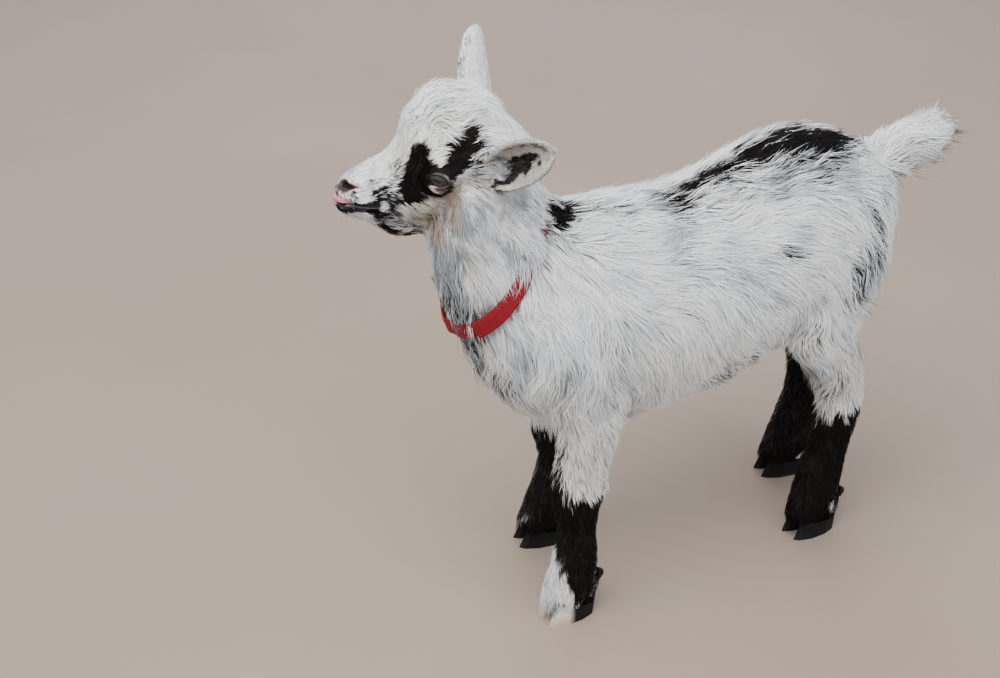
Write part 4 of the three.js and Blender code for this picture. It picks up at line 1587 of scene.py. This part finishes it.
class Finish:
    """A material in the making."""

    def __init__(self, name: str) -> None:
        """Starts the material, named for what the real one is."""
        self.material = bpy.data.materials.new(name)
        self.material.use_nodes = True
        self.tree = self.material.node_tree

    def add(self, kind: str, inputs: Any = None, **settings: Any) -> Node:
        """Adds a shader node, its kind given without the prefix."""
        return node(self.tree, "ShaderNode" + kind, inputs, **settings)

    def done(self, inputs: dict[str, Any]) -> Material:
        """Sets and links the shader's inputs, and gives the material."""
        plug(self.tree, self.tree.nodes["Principled BSDF"], inputs)
        return self.material


@dataclass(frozen=True)
class Hair:
    """Kid's hair: soft, fine keratin, white with cool grey streaks that are partly painted shadow between
    locks, beige or black by the markings, with painted shade near the roots.
    """

    grey: str = "8E979F"
    cool: str = "D3D9DE"
    white: str = "FAFAF8"
    # The grey of the painted shade near each hair's root.
    root_shade: str = "B4B7BA"
    beige: str = "A99780"
    black: str = "0A090B"
    brown_black: str = "1C1514"

    def make(self) -> Material:
        """Builds the material; each tuft carries its black, beige, shade and place along the hair."""
        finish = Finish("kid_hair")
        add = finish.add
        strand = add("Attribute", attribute_name="strand")
        black, beige, shade = add("SeparateColor", {0: strand}).outputs
        pale = add("ValToRGB", {0: shade}, stops=((0.0, self.grey), (0.35, self.cool), (0.75, self.white)))
        warm = add("Mix", {0: beige, 6: pale, 7: self.beige}, **RGBA)
        # Painted shade: the hair is greyer near its root, where the tufts shade one another, and so paler to
        # its tip.
        root = add("MapRange", {0: strand.outputs["Alpha"], 1: 0.0, 2: 0.5, 3: 0.55, 4: 0.0})
        root_shaded = add("Mix", {0: root, 6: warm, 7: self.root_shade}, **RGBA)
        browned = ((0.0, self.brown_black), (0.7, self.black), (1.0, self.brown_black))
        dark = add("ValToRGB", {0: shade}, stops=browned)
        # Cuticle and fine strands within a tuft, drawn 0.5 mm wide so that they show.
        place = add("TexCoord").outputs["Object"]
        grain = add("TexNoise", {"Vector": place, "Scale": 1800.0, "Detail": 2.0})
        look = {
            "Base Color": add("Mix", {0: black, 6: root_shaded, 7: dark}, **RGBA),
            "Roughness": 0.55,
            "Specular IOR Level": add("MapRange", {0: black, 3: 0.30, 4: 0.07}),
            "IOR": 1.55,
            "Sheen Weight": add("MapRange", {0: black, 3: 0.15, 4: 0.0}),
            "Sheen Roughness": 0.45,
            "Normal": add("Bump", {"Strength": 0.12, "Distance": 0.0002, "Height": grain}),
        }
        return finish.done(look)


@dataclass(frozen=True)
class Hide:
    """Living skin under short hair: pink to dark by the markings, finely wrinkled, moist at the lips."""

    under_white: tuple[str, str] = ("E2DDD7", "D2CAC4")
    under_black: tuple[str, str] = ("141114", "221A1C")
    bare: tuple[str, str] = ("1C1517", "2A1E21")
    beige: str = "BBA58B"
    pink: str = "D99A9B"

    def make(self) -> Material:
        """Builds the material; the points carry black, beige, pink and bare shares."""
        finish = Finish("kid_skin")
        add = finish.add
        marks = add("Attribute", attribute_name="marking")
        bared = marks.outputs["Alpha"]
        black, beige, pink = add("SeparateColor", {0: marks}).outputs
        place = add("TexCoord").outputs["Object"]
        # Flat hair: streaks 0.7 mm wide that run back along the head.
        along = (-math.radians(HEAD.pitch), 0, math.radians(HEAD.turn))
        turned = add("Mapping", {0: place, 2: along, 3: (1.0, 0.22, 1.0)})
        streaks = add("TexNoise", {"Vector": turned, "Scale": 1300.0, "Detail": 3.0, "Roughness": 0.6})
        mottle = add("TexNoise", {"Vector": place, "Scale": 160.0, "Detail": 4.0})
        colour = add("Mix", {0: mottle, 6: self.under_white[0], 7: self.under_white[1]}, **RGBA)
        for share, over in ((beige, self.beige), (pink, self.pink)):
            colour = add("Mix", {0: share, 6: colour, 7: over}, **RGBA)
        dark = add("Mix", {0: streaks, 6: self.under_black[0], 7: self.under_black[1]}, **RGBA)
        bare = add("Mix", {0: mottle, 6: self.bare[0], 7: self.bare[1]}, **RGBA)
        for share, over in ((black, dark), (bared, bare)):
            colour = add("Mix", {0: share, 6: colour, 7: over}, **RGBA)
        # Wrinkles of bare skin are about 0.6 mm apart.
        cells = add("TexVoronoi", {"Vector": place, "Scale": 1500.0}, feature="DISTANCE_TO_EDGE")
        relief = add("Mix", {0: bared, 2: streaks, 3: cells}, data_type="FLOAT")
        look = {
            "Base Color": colour,
            "Roughness": add("MapRange", {0: bared, 3: 0.72, 4: 0.36}),
            "Specular IOR Level": 0.4,
            "Normal": add("Bump", {"Strength": 0.55, "Distance": 0.0003, "Height": relief}),
        }
        return finish.done(look)


@dataclass(frozen=True)
class WetEye:
    """A goat's eye: grey-brown iris, long level pupil, dark rim, all under a wet clear cornea."""

    iris: str = "2B2623"
    iris_light: str = "4C4641"
    iris_dark: str = "120E0D"
    pupil: str = "06070A"
    rim: str = "0E0B0B"
    white: str = "3A2C28"

    def make(self) -> Material:
        """Builds the material; the points carry their place across the eye, in centimetres about 0.5."""
        finish = Finish("wet_eye")
        add = finish.add
        place = add("Attribute", attribute_name="eye_plane")
        across = add("SeparateColor", {0: place}).outputs
        x, y = (add("Math:SUBTRACT", (across[k], 0.5)) for k in (0, 1))
        y_squared = add("Math:MULTIPLY", (y, y))
        radius = add("Math:SQRT", (add("Math:ADD", (add("Math:MULTIPLY", (x, x)), y_squared)),))
        turn = add("Math:MULTIPLY", (add("Math:ARCTAN2", (y, x)), 9.0))
        spokes = add("CombineXYZ", {0: turn, 1: add("Math:MULTIPLY", (radius, 2.0))})
        fibres = add("TexNoise", {"Vector": spokes, "Scale": 2.2, "Detail": 4.0, "Roughness": 0.7})
        bands = ((0.3, self.iris_dark), (0.52, self.iris), (0.72, self.iris_light))
        colour = add("ValToRGB", {0: fibres}, stops=bands)
        # The pupil is a level slot with round ends, 5.8 by 1.8 mm.
        reach = add("Math:SUBTRACT", (add("Math:ABSOLUTE", (x,)), 0.2))
        reach = add("Math:MAXIMUM", (reach, 0.0))
        slot = add("Math:SQRT", (add("Math:ADD", (add("Math:MULTIPLY", (reach, reach)), y_squared)),))
        rings = (
            (radius, 0.30, 0.58, self.iris_dark),
            (radius, 0.56, 0.62, self.rim),
            (radius, 0.66, 0.78, self.white),
            (slot, 0.098, 0.080, self.pupil),
        )
        for measure, start, stop, over in rings:
            share = add("MapRange", {0: measure, 1: start, 2: stop}, **SMOOTH)
            colour = add("Mix", {0: share, 6: colour, 7: over}, **RGBA)
        look = {
            "Base Color": colour,
            "Roughness": 0.22,
            "IOR": 1.376,
            "Coat Weight": 1.0,
            "Coat Roughness": 0.02,
            "Coat IOR": 1.38,
        }
        return finish.done(look)


@dataclass(frozen=True)
class Horn:
    """Hoof horn: keratin grown in fine rings, waxy on top, scuffed and dusty towards the ground."""

    name: str
    deep: str
    light: str
    worn: str
    overgrown: str = "0D0B0D"
    roughness: float = 0.5
    heel: float | None = None

    def make(self) -> Material:
        """Builds the material."""
        finish = Finish(self.name)
        add = finish.add
        place = add("TexCoord").outputs["Object"]
        tilt = add("Mapping", {0: place, 2: (math.radians(14), 0.0, 0.0)})
        # Growth rings about 1.1 mm apart.
        spread = {"Scale": 285.0, "Distortion": 2.2, "Detail": 2.0, "Detail Scale": 0.6}
        rings = add("TexWave", {0: tilt, **spread}, wave_type="BANDS", bands_direction="Z").outputs[1]
        cloud = add("TexNoise", {"Vector": place, "Scale": 210.0, "Detail": 5.0, "Roughness": 0.65})
        colour = add("Mix", {0: cloud, 6: self.deep, 7: self.light}, **RGBA)
        faint = add("MapRange", {0: rings, 3: 0.0, 4: 0.3})
        colour = add("Mix", {0: faint, 6: colour, 7: self.light}, **RGBA)
        _, back, up = add("SeparateXYZ", {0: place}).outputs
        low = add("MapRange", {0: up, 1: 0.007, 2: 0.0005}, **SMOOTH)
        dusty = add("Math:MULTIPLY", (low, cloud))
        colour = add("Mix", {0: dusty, 6: colour, 7: self.worn}, **RGBA)
        if self.heel is not None:
            # The claw is black behind this place, where black hair grows over it.
            behind = add("MapRange", {0: back, 1: self.heel, 2: self.heel + 0.005})
            colour = add("Mix", {0: behind, 6: colour, 7: self.overgrown}, **RGBA)
        relief = add("Math:ADD", (rings, cloud))
        look = {
            "Base Color": colour,
            "Specular IOR Level": 0.16,
            "Roughness": add("MapRange", {0: cloud, 3: self.roughness - 0.08, 4: self.roughness + 0.2}),
            "IOR": 1.54,
            "Normal": add("Bump", {"Strength": 0.5, "Distance": 0.0003, "Height": relief}),
        }
        return finish.done(look)


@dataclass(frozen=True)
class WetTongue:
    """Tongue: moist pink tissue with fine papillae."""

    pink: str = "B8546F"
    deep: str = "8E3850"

    def make(self) -> Material:
        """Builds the material."""
        finish = Finish("moist_tongue")
        add = finish.add
        place = add("TexCoord").outputs["Object"]
        # Papillae are about 0.6 mm apart.
        cells = add("TexVoronoi", {"Vector": place, "Scale": 1600.0})
        cloud = add("TexNoise", {"Vector": place, "Scale": 350.0, "Detail": 3.0})
        look = {
            "Base Color": add("Mix", {0: cloud, 6: self.pink, 7: self.deep}, **RGBA),
            "Roughness": 0.3,
            "Coat Weight": 0.6,
            "Coat Roughness": 0.12,
            "Normal": add("Bump", {"Strength": 0.4, "Distance": 0.0002, "Height": cells}),
        }
        return finish.done(look)


@dataclass(frozen=True)
class Webbing:
    """Nylon webbing: a flat plain weave in deep red, slightly glossy ribs, with painted shade in the gaps."""

    red: str = "A0001A"
    shade: str = "6A0010"
    worn: str = "A80C24"

    def make(self) -> Material:
        """Builds the material; the piece's own map counts millimetres along and across the band."""
        finish = Finish("red_nylon_webbing")
        add = finish.add
        laid = add("UVMap", uv_map="weave")
        run = add("SeparateXYZ", {0: laid}).outputs
        # Picks 0.9 mm apart along the band, ends 0.75 mm apart across it.
        turns = [add("Math:MULTIPLY", (run[k], 2 * math.pi / pitch)) for k, pitch in enumerate((0.9, 0.75))]
        weave = add("Math:MULTIPLY", [add("Math:SINE", (turn,)) for turn in turns])
        rib = add("Math:ABSOLUTE", (weave,))
        cloud = add("TexNoise", {"Vector": laid, "Scale": 0.35, "Detail": 3.0})
        # Painted shade: the gaps between the ribs take the darker red.
        colour = add("Mix", {0: rib, 6: self.shade, 7: self.red}, **RGBA)
        rubbed = add("MapRange", {0: cloud, 1: 0.5, 2: 0.8, 3: 0.0, 4: 0.35})
        look = {
            "Base Color": add("Mix", {0: rubbed, 6: colour, 7: self.worn}, **RGBA),
            "Roughness": 0.55,
            "Specular IOR Level": 0.3,
            "Normal": add("Bump", {"Strength": 0.7, "Distance": 0.0003, "Height": rib}),
        }
        return finish.done(look)


@dataclass(frozen=True)
class Thread:
    """Polyester thread or a single hair: one colour, twisted, with a soft shine."""

    name: str
    colour: str
    other: str
    roughness: float = 0.45

    def make(self) -> Material:
        """Builds the material."""
        finish = Finish(self.name)
        add = finish.add
        # The twist is about 1.1 mm long.
        place = add("TexCoord").outputs["Object"]
        twist = add("TexNoise", {"Vector": place, "Scale": 900.0, "Detail": 2.0})
        look = {
            "Base Color": add("Mix", {0: twist, 6: self.colour, 7: self.other}, **RGBA),
            "Roughness": self.roughness,
            "Normal": add("Bump", {"Strength": 0.3, "Distance": 0.0001, "Height": twist}),
        }
        return finish.done(look)


# ---- eyes, tongue, feet


def rolled(points: Array, first: int, second: int, angle: float) -> Array:
    """Points turned from one axis towards another, by an angle in radians."""
    turned = points.copy()
    turned[:, first] = points[:, first] * math.cos(angle) - points[:, second] * math.sin(angle)
    turned[:, second] = points[:, second] * math.cos(angle) + points[:, first] * math.sin(angle)
    return turned


@dataclass
class Eyeball:
    """One eye with its bulged cornea."""

    side: int = 1
    bulge: float = 0.45
    rings: int = 36
    spokes: int = 64
    look: tuple[float, float] = (0.93, 0.69)
    level: float = 10.0

    def build(self, material: Material) -> None:
        """Makes the eye.

        Args:
            material: The wet eye.
        """
        eye = EyeOpening(side=self.side)
        name = "left" if self.side > 0 else "right"
        theta = np.linspace(0, np.pi, self.rings + 1)
        phi = np.linspace(0, 2 * np.pi, self.spokes, endpoint=False)[None]
        radius = eye.radius + self.bulge * np.exp(-((theta / 0.62) ** 4))
        ring, height = (radius * np.sin(theta))[1:-1, None], (radius * np.cos(theta))[1:-1, None]
        local = rows_of(ring * np.cos(phi), ring * np.sin(phi), height).reshape(-1, 3)
        local = np.concatenate([local, [[0, 0, radius[0]], [0, 0, -radius[-1]]]])
        turned = local
        for axis, offset in enumerate(self.look):
            turned = rolled(turned, 2, axis, math.asin(offset / eye.radius))
        row, k = np.mgrid[0 : self.rings - 2, 0 : self.spokes] * np.array([self.spokes, 1])[:, None, None]
        after = (k + 1) % self.spokes
        a, b, c, d = row + k, row + after, row + self.spokes + k, row + self.spokes + after
        walls = np.stack([rows_of(a, c, d), rows_of(a, d, b)], axis=2).reshape(-1, 3)
        k, after, base = k[0], after[0], (self.rings - 2) * self.spokes
        front, rear = len(local) - 2, len(local) - 1
        caps = np.stack([rows_of(front, k, after), rows_of(rear, base + after, base + k)], axis=1)
        table = np.concatenate([walls, caps.reshape(-1, 3)])
        # The right eye is the left one mirrored, so its faces are turned round.
        piece = mesh_object("eyeball_" + name, eye.back(turned), table[:, :: -self.side])
        x, y, z = rolled(local, 1, 0, math.radians(self.level)).T
        flat = rows_of(0.5 + x / 10, 0.5 + y / 10, 0.5 + z / 20, 1.0)
        # Behind the eye's middle the pattern is pushed out to the white.
        flat[z < 0, 0:2] = 0.5 + 0.95
        paint(piece.data, "eye_plane", flat)
        finish_piece(piece, material, "eye", "eye_" + name)


@dataclass
class Tongue:
    """The tip of the tongue between the lips, with its middle groove."""

    middle: Triple = (5.6, 56.8, -3.6)
    reach: Triple = (8.8, 7.0, 1.35)
    tilt: float = 18.5
    grown: float = 1.12

    def build(self, material: Material) -> None:
        """Makes the tongue.

        Args:
            material: The moist tissue.
        """
        work = bmesh.new()
        bmesh.ops.create_uvsphere(work, u_segments=56, v_segments=28, radius=1.0)
        points = np.array([v.co[:] for v in work.verts])
        bmesh.ops.triangulate(work, faces=work.faces)
        faces = np.array([[v.index for v in f.verts] for f in work.faces])
        work.free()
        groove = 0.35 * bell(points[:, 0], 0, 0.16) * (points[:, 2] > 0)
        curl = 0.35 * points[:, 1] ** 2
        local = points * np.array(self.reach) * self.grown
        local[:, 2] = local[:, 2] * (1 - groove) - curl
        local = rolled(local, 1, 2, math.radians(self.tilt))
        piece = mesh_object("tongue_tip", HEAD.out(local + np.array(self.middle)), faces)
        finish_piece(piece, material, "tongue", "tongue")


class Feet:
    """Hooves and dewclaws: the frame's own solids with horn on them."""

    def dress(self, nodes: dict[str, Object], dark: Material, pale: Material) -> None:
        """Gives each claw its horn.

        Args:
            nodes: The frame's nodes by name.
            dark: Black horn.
            pale: Cream horn, on the left fore foot.
        """
        for name, claw in nodes.items():
            if name.startswith(("hoof_", "dewclaw_")):
                claw.data.materials.clear()
                cream = name.startswith("hoof_front_left")
                claw.data.materials.append(pale if cream else dark)


# ---- the neck band


@dataclass
class Collar:
    """A flat woven band round the neck, with sewn edges."""

    stations: int = 220
    bins: int = 60
    thick: float = 1.7
    stitch_pitch: float = 2.4
    stitch_long: float = 1.5
    stitch_thick: float = 0.22

    def loops(self, mesh: Mesh) -> tuple[Array, Array]:
        """Reads the band's run off the frame's band.

        Args:
            mesh: The mesh of the frame's band.

        Returns:
            Angles of the stations, and the outer radii of the lower and the upper edge.
        """
        points, _ = triangles_of(mesh)
        angle = np.radians(BAND.angle(points))
        height = BAND.height(points)
        radius = np.linalg.norm(points - np.array(BAND.at) - height[:, None] * BAND.axis, axis=1)
        turn = np.linspace(-np.pi, np.pi, self.stations, endpoint=False)
        bins = np.linspace(-np.pi, np.pi, self.bins + 1)
        which = np.digitize(angle, bins) - 1
        found = []
        for side in (height < 0, height > 0):
            full = [k for k in range(self.bins) if (side & (which == k)).any()]
            middle = [(bins[k] + bins[k + 1]) / 2 for k in full]
            reach = [radius[side & (which == k)].max() for k in full]
            outer = np.interp(turn, middle, reach, period=2 * np.pi)
            # Evened over nine stations.
            found.append(np.convolve(np.concatenate([outer[-4:], outer, outer[:4]]), np.ones(9) / 9, "valid"))
        return turn, np.array(found)

    def section(self) -> list[tuple[float, float]]:
        """The band's section, over the outer face and back: height, and depth under the outer face."""
        half, thick = BAND.width / 2, self.thick
        outer = [(-half / 2, -0.06), (0.0, -0.08), (half / 2, -0.06), (half - 0.5, 0.0)]
        edge = [(half - 0.1, 0.35), (half, 0.85), (half - 0.1, 1.35)]
        inner = [(half - 0.5, thick), (0.0, thick), (-half + 0.5, thick)]
        back = [(-height, under) for height, under in reversed(edge)]
        return [(-half + 0.5, 0.0), *outer, *edge, *inner, *back]

    def build(self, nodes: dict[str, Object], material: Material, thread: Material) -> None:
        """Makes the band and its stitches.

        Args:
            nodes: The frame's nodes by name.
            material: The webbing.
            thread: The sewing thread.
        """
        turn, (low, high) = self.loops(nodes["collar"].data)
        deep = np.cross(BAND.axis, [1.0, 0.0, 0.0])
        spoke = np.cos(turn)[:, None] * np.array([1.0, 0, 0]) + np.sin(turn)[:, None] * deep
        sunk = BAND.sunk(np.degrees(turn))
        section = np.array(self.section())
        rows = []
        for height, under in section:
            radius = low + (high - low) * ((height + BAND.width / 2) / BAND.width) - under - sunk
            rows.append(np.array(BAND.at) + spoke * radius[:, None] + BAND.axis * height)
        points = np.stack(rows, axis=1)
        count, around = points.shape[:2]
        length = np.cumsum(np.linalg.norm(np.roll(points[:, 2], -1, 0) - points[:, 2], axis=1))
        width = np.cumsum(np.linalg.norm(np.roll(section, -1, 0) - section, axis=1))
        length, width = np.concatenate([[0], length]), np.concatenate([[0], width])
        k, j = np.mgrid[0:count, 0:around]
        here, after, beside = k * around, (k + 1) % count * around, (j + 1) % around
        table = rows_of(after + j, after + beside, here + beside, here + j).reshape(-1, 4)
        laid = [(length[k + 1], width[j]), (length[k + 1], width[j + 1]), (length[k], width[j + 1])]
        laid = np.stack([rows_of(*spot) for spot in (*laid, (length[k], width[j]))], axis=2)
        piece = mesh_object("neck_band", points.reshape(-1, 3), table)
        layer = piece.data.uv_layers.new(name="weave")
        layer.data.foreach_set("uv", laid.astype(np.float32).ravel())
        finish_piece(piece, material, "collar", "collar")
        self.sew(points, spoke, thread)

    def sew(self, points: Array, spoke: Array, thread: Material) -> None:
        """Sews a row of stitches along each edge.

        Args:
            points: The band's points, by station and place in the section.
            spoke: Outward directions by station.
            thread: The thread.
        """
        seats, ways = [], []
        for share in (0.16, 0.84):
            line = points[:, 0] * (1 - share) + points[:, 4] * share + spoke * 0.06
            loop = np.concatenate([line, line[:1]])
            travelled = np.concatenate([[0], np.cumsum(np.linalg.norm(loop[1:] - line, axis=1))])
            wanted = np.arange(int(travelled[-1] / self.stitch_pitch)) * self.stitch_pitch
            at, ahead = (
                np.stack([np.interp(wanted + further, travelled, axis) for axis in loop.T], 1)
                for further in (0, 0.5)
            )
            seats.append(at)
            ways.append(unit(ahead - at))
        at, way = np.concatenate(seats), np.concatenate(ways)
        seeds = Spines("neck_band_stitches", at, way, np.full(len(at), self.stitch_long))
        seeds.grow(thread, "collar", thick=self.stitch_thick, blunt=0.75, sides=6, centred=True)


@dataclass
class Spines:
    """Many small spines or stitches set on points by Geometry Nodes."""

    name: str
    seats: Array
    ways: Array
    lengths: Array

    def grow(
        self, material: Material, slot: str, thick: float, blunt: float, sides: int, centred: bool = False
    ) -> None:
        """Makes the piece.

        Args:
            material: Its material.
            slot: The record's slot.
            thick: Radius at the root in millimetres.
            blunt: Radius of the tip, as a share of the root's.
            sides: Sides of each spine.
            centred: Whether a spine lies with its middle on its seat.
        """
        mesh = bpy.data.meshes.new(self.name)
        mesh.from_pydata(PLACE.metres(self.seats).tolist(), [], [])
        way = mesh.attributes.new("way", "FLOAT_VECTOR", "POINT")
        way.data.foreach_set("vector", self.ways.astype(np.float32).ravel())
        long = mesh.attributes.new("long", "FLOAT", "POINT")
        long.data.foreach_set("value", (self.lengths / METRE).astype(np.float32))
        seeds = stand(self.name + "_seeds", mesh)
        modifier = seeds.modifiers.new("Spines", "NODES")
        modifier.node_group = self.tree(material)
        start = -0.5 if centred else 0.0
        sizes = {"Root radius": thick / METRE, "Tip share": blunt, "Sides": sides, "Start": start}
        for item in modifier.node_group.interface.items_tree:
            if item.item_type == "SOCKET" and item.in_out == "INPUT" and item.name in sizes:
                modifier[item.identifier] = sizes[item.name]
        piece = realised(seeds, self.name)
        for polygon in piece.data.polygons:
            polygon.use_smooth = True
        finish_piece(piece, None, slot)

    def tree(self, material: Material) -> NodeTree:
        """Builds the node tree that sets a spine on every point.

        Args:
            material: The material it sets.

        Returns:
            The tree.
        """
        tree = bpy.data.node_groups.new(self.name + "_tree", "GeometryNodeTree")
        kinds = {"Geometry": "Geometry", "Root radius": "Float", "Tip share": "Float"}
        kinds |= {"Sides": "Int", "Start": "Float"}
        for name, kind in kinds.items():
            tree.interface.new_socket(name=name, in_out="INPUT", socket_type="NodeSocket" + kind)
        tree.interface.new_socket(name="Geometry", in_out="OUTPUT", socket_type="NodeSocketGeometry")
        _, root, share, sides, start, _ = given = node(tree, "NodeGroupInput").outputs
        cone = {"Vertices": sides, "Side Segments": 2, "Radius Bottom": root, "Depth": 1.0}
        cone["Radius Top"] = node(tree, "ShaderNodeMath:MULTIPLY", (root, share))
        spine = node(tree, "GeometryNodeMeshCone", cone, fill_type="TRIANGLE_FAN").outputs[0]
        lift = node(tree, "ShaderNodeCombineXYZ", {2: start})
        moved = node(tree, "GeometryNodeTransform", {"Geometry": spine, "Translation": lift})
        named = "GeometryNodeInputNamedAttribute"
        way = node(tree, named, {0: "way"}, data_type="FLOAT_VECTOR").outputs[0]
        long = node(tree, named, {0: "long"}, data_type="FLOAT").outputs[0]
        aimed = node(tree, "FunctionNodeAlignRotationToVector", {"Vector": way}, axis="Z")
        size = node(tree, "ShaderNodeCombineXYZ", (1.0, 1.0, long))
        points = node(tree, "GeometryNodeMeshToPoints", {0: given[0]})
        copies = {"Points": points, "Instance": moved, "Rotation": aimed, "Scale": size}
        placed = node(tree, "GeometryNodeInstanceOnPoints", copies)
        real = node(tree, "GeometryNodeRealizeInstances", {0: placed})
        dressed = node(tree, "GeometryNodeSetMaterial", {"Geometry": real, "Material": material})
        node(tree, "NodeGroupOutput", {0: dressed})
        return tree


@dataclass
class LongHairs:
    """Eyelashes, and the few stiff whiskers of the muzzle."""

    lashes: int = 30
    whiskers: int = 26
    seed: int = 5

    def build(self, skin: Skin, dark: Material, pale: Material) -> None:
        """Makes lashes and whiskers.

        Args:
            skin: The skin that they grow from.
            dark: Black hair.
            pale: White hair.
        """
        rng = np.random.default_rng(self.seed)
        seats, ways, lengths = [], [], []
        for eye in EYES:
            _, rows = eye.axes()
            for k in range(self.lashes):
                x = eye.half * (-0.85 + 1.7 * (k + rng.uniform(-0.3, 0.3)) / (self.lashes - 1))
                y = eye.upper * (1 - (x / eye.half) ** 2) ** 0.75 + 0.45
                z = math.sqrt(max((eye.radius + 0.7) ** 2 - x * x - y * y, 1.0))
                sideways = 0.25 * x / eye.half + rng.normal(0, 0.06)
                way = unit(np.array([sideways, 0.45 + rng.normal(0, 0.08), 0.9]))
                seats.append(eye.back(np.array([[x, y, z]]))[0])
                ways.append(HEAD.turned((way @ rows)[None])[0])
                lengths.append(2.4 + 1.4 * (1 - (x / eye.half) ** 2) + rng.uniform(-0.5, 0.5))
        lashes = Spines("eyelashes", np.array(seats), np.array(ways), np.array(lengths))
        lashes.grow(dark, "black_coat", thick=0.08, blunt=0.25, sides=4)
        side, ahead, up = HEAD.into(skin.points).T
        snout = (ahead > 44) & (ahead < 62) & (np.abs(up + 8) < 8) & (np.abs(side) > 5)
        chosen = rng.choice(np.flatnonzero(snout), self.whiskers, replace=False)
        back = HEAD.turned(np.array([[0.0, -0.5, -0.25]]))[0]
        way = unit(skin.normals()[chosen] + back + rng.normal(0, 0.15, (self.whiskers, 3)))
        whiskers = Spines("whiskers", skin.points[chosen], way, rng.uniform(6, 13, self.whiskers))
        whiskers.grow(pale, "white_coat", thick=0.06, blunt=0.2, sides=4)


# ---- stage


@dataclass
class Studio:
    """A plain sand-grey floor, soft light from above, and the camera."""

    eye: Triple = (796.8, -544.7, 670.7)
    aim: Triple = (0.0, -130.5, 186.1)
    lens: float = 62.0
    # Each lamp: its name, place and aim in millimetres, side in metres, power in watts, and colour.
    lamps: tuple[tuple[Any, ...], ...] = (
        ("softbox", (350, -700, 1500), (0, 0, 200), 1.3, 36.0, "FFFDFA"),
        ("side_fill", (1500, 300, 700), (0, 0, 200), 1.2, 8.5, "EEF3FF"),
        ("back_fill", (-1200, 500, 1100), (0, 0, 200), 1.2, 12.0, "F4F7FF"),
    )
    sky: str = "E6EAF0"
    sky_strength: float = 1.2
    reach: float = 6.0
    sand: tuple[str, str] = ("8C7C6D", "998A7B")

    def build(self) -> None:
        """Sets floor, lights and camera."""
        self.floor()
        for name, place, target, size, power, colour in self.lamps:
            lamp = bpy.data.lights.new(name, "AREA")
            lamp.size, lamp.energy, lamp.color = size, power, linear(colour)[:3]
            aim(stand(name, lamp), place, target)
        world = bpy.data.worlds.new("overcast")
        world.use_nodes = True
        sky = {"Color": self.sky, "Strength": self.sky_strength}
        plug(world.node_tree, world.node_tree.nodes["Background"], sky)
        bpy.context.scene.world = world
        camera = bpy.data.cameras.new("camera")
        camera.lens, camera.clip_start = self.lens, 0.05
        bpy.context.scene.camera = stand("camera", camera)
        aim(bpy.context.scene.camera, self.eye, self.aim)

    def floor(self) -> None:
        """Adds the floor."""
        mesh = bpy.data.meshes.new("floor")
        r = self.reach
        mesh.from_pydata([(-r, -r, 0), (r, -r, 0), (r, r, 0), (-r, r, 0)], [], [(0, 1, 2, 3)])
        ground = stand("floor", mesh)
        sand = Finish("sand_floor")
        # Drifts of sand are about a third of a metre wide.
        place = sand.add("TexCoord").outputs["Object"]
        cloud = sand.add("TexNoise", {"Vector": place, "Scale": 3.0, "Detail": 3.0})
        colour = sand.add("Mix", {0: cloud, 6: self.sand[0], 7: self.sand[1]}, **RGBA)
        mesh.materials.append(sand.done({"Base Color": colour, "Roughness": 0.85}))


def main() -> None:
    """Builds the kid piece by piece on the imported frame."""
    logging.basicConfig(level=logging.INFO, format="%(message)s")
    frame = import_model()
    PLACE.find()
    LOG.info("shift %s", PLACE.shift.round(3))
    nodes = frame["nodes"]
    Studio().build()
    hair = Hair().make()
    skin = Skin()
    skin.build(nodes)
    skin.dress(Hide().make())
    lie = Lie(skin)
    lie.build()
    Coat(skin, lie, thin=1.0).grow(hair)
    wet = WetEye().make()
    for side in (1, -1):
        Eyeball(side=side).build(wet)
    Tongue().build(WetTongue().make())
    dark_horn = Horn("black_hoof_horn", "040405", "0A090A", "1C1917")
    pale_horn = Horn("cream_hoof_horn", "B4A58C", "D9D0BE", "8A7C69", heel=-0.100)
    Feet().dress(nodes, dark_horn.make(), pale_horn.make())
    red_thread = Thread("red_polyester_thread", "B01018", "7C060C").make()
    Collar().build(nodes, Webbing().make(), red_thread)
    black_hair = Thread("black_guard_hair", "0B0A0B", "1D1716").make()
    white_hair = Thread("white_guard_hair", "F1F0EC", "D8D4CE").make()
    LongHairs().build(skin, black_hair, white_hair)


if __name__ == "__main__":
    main()
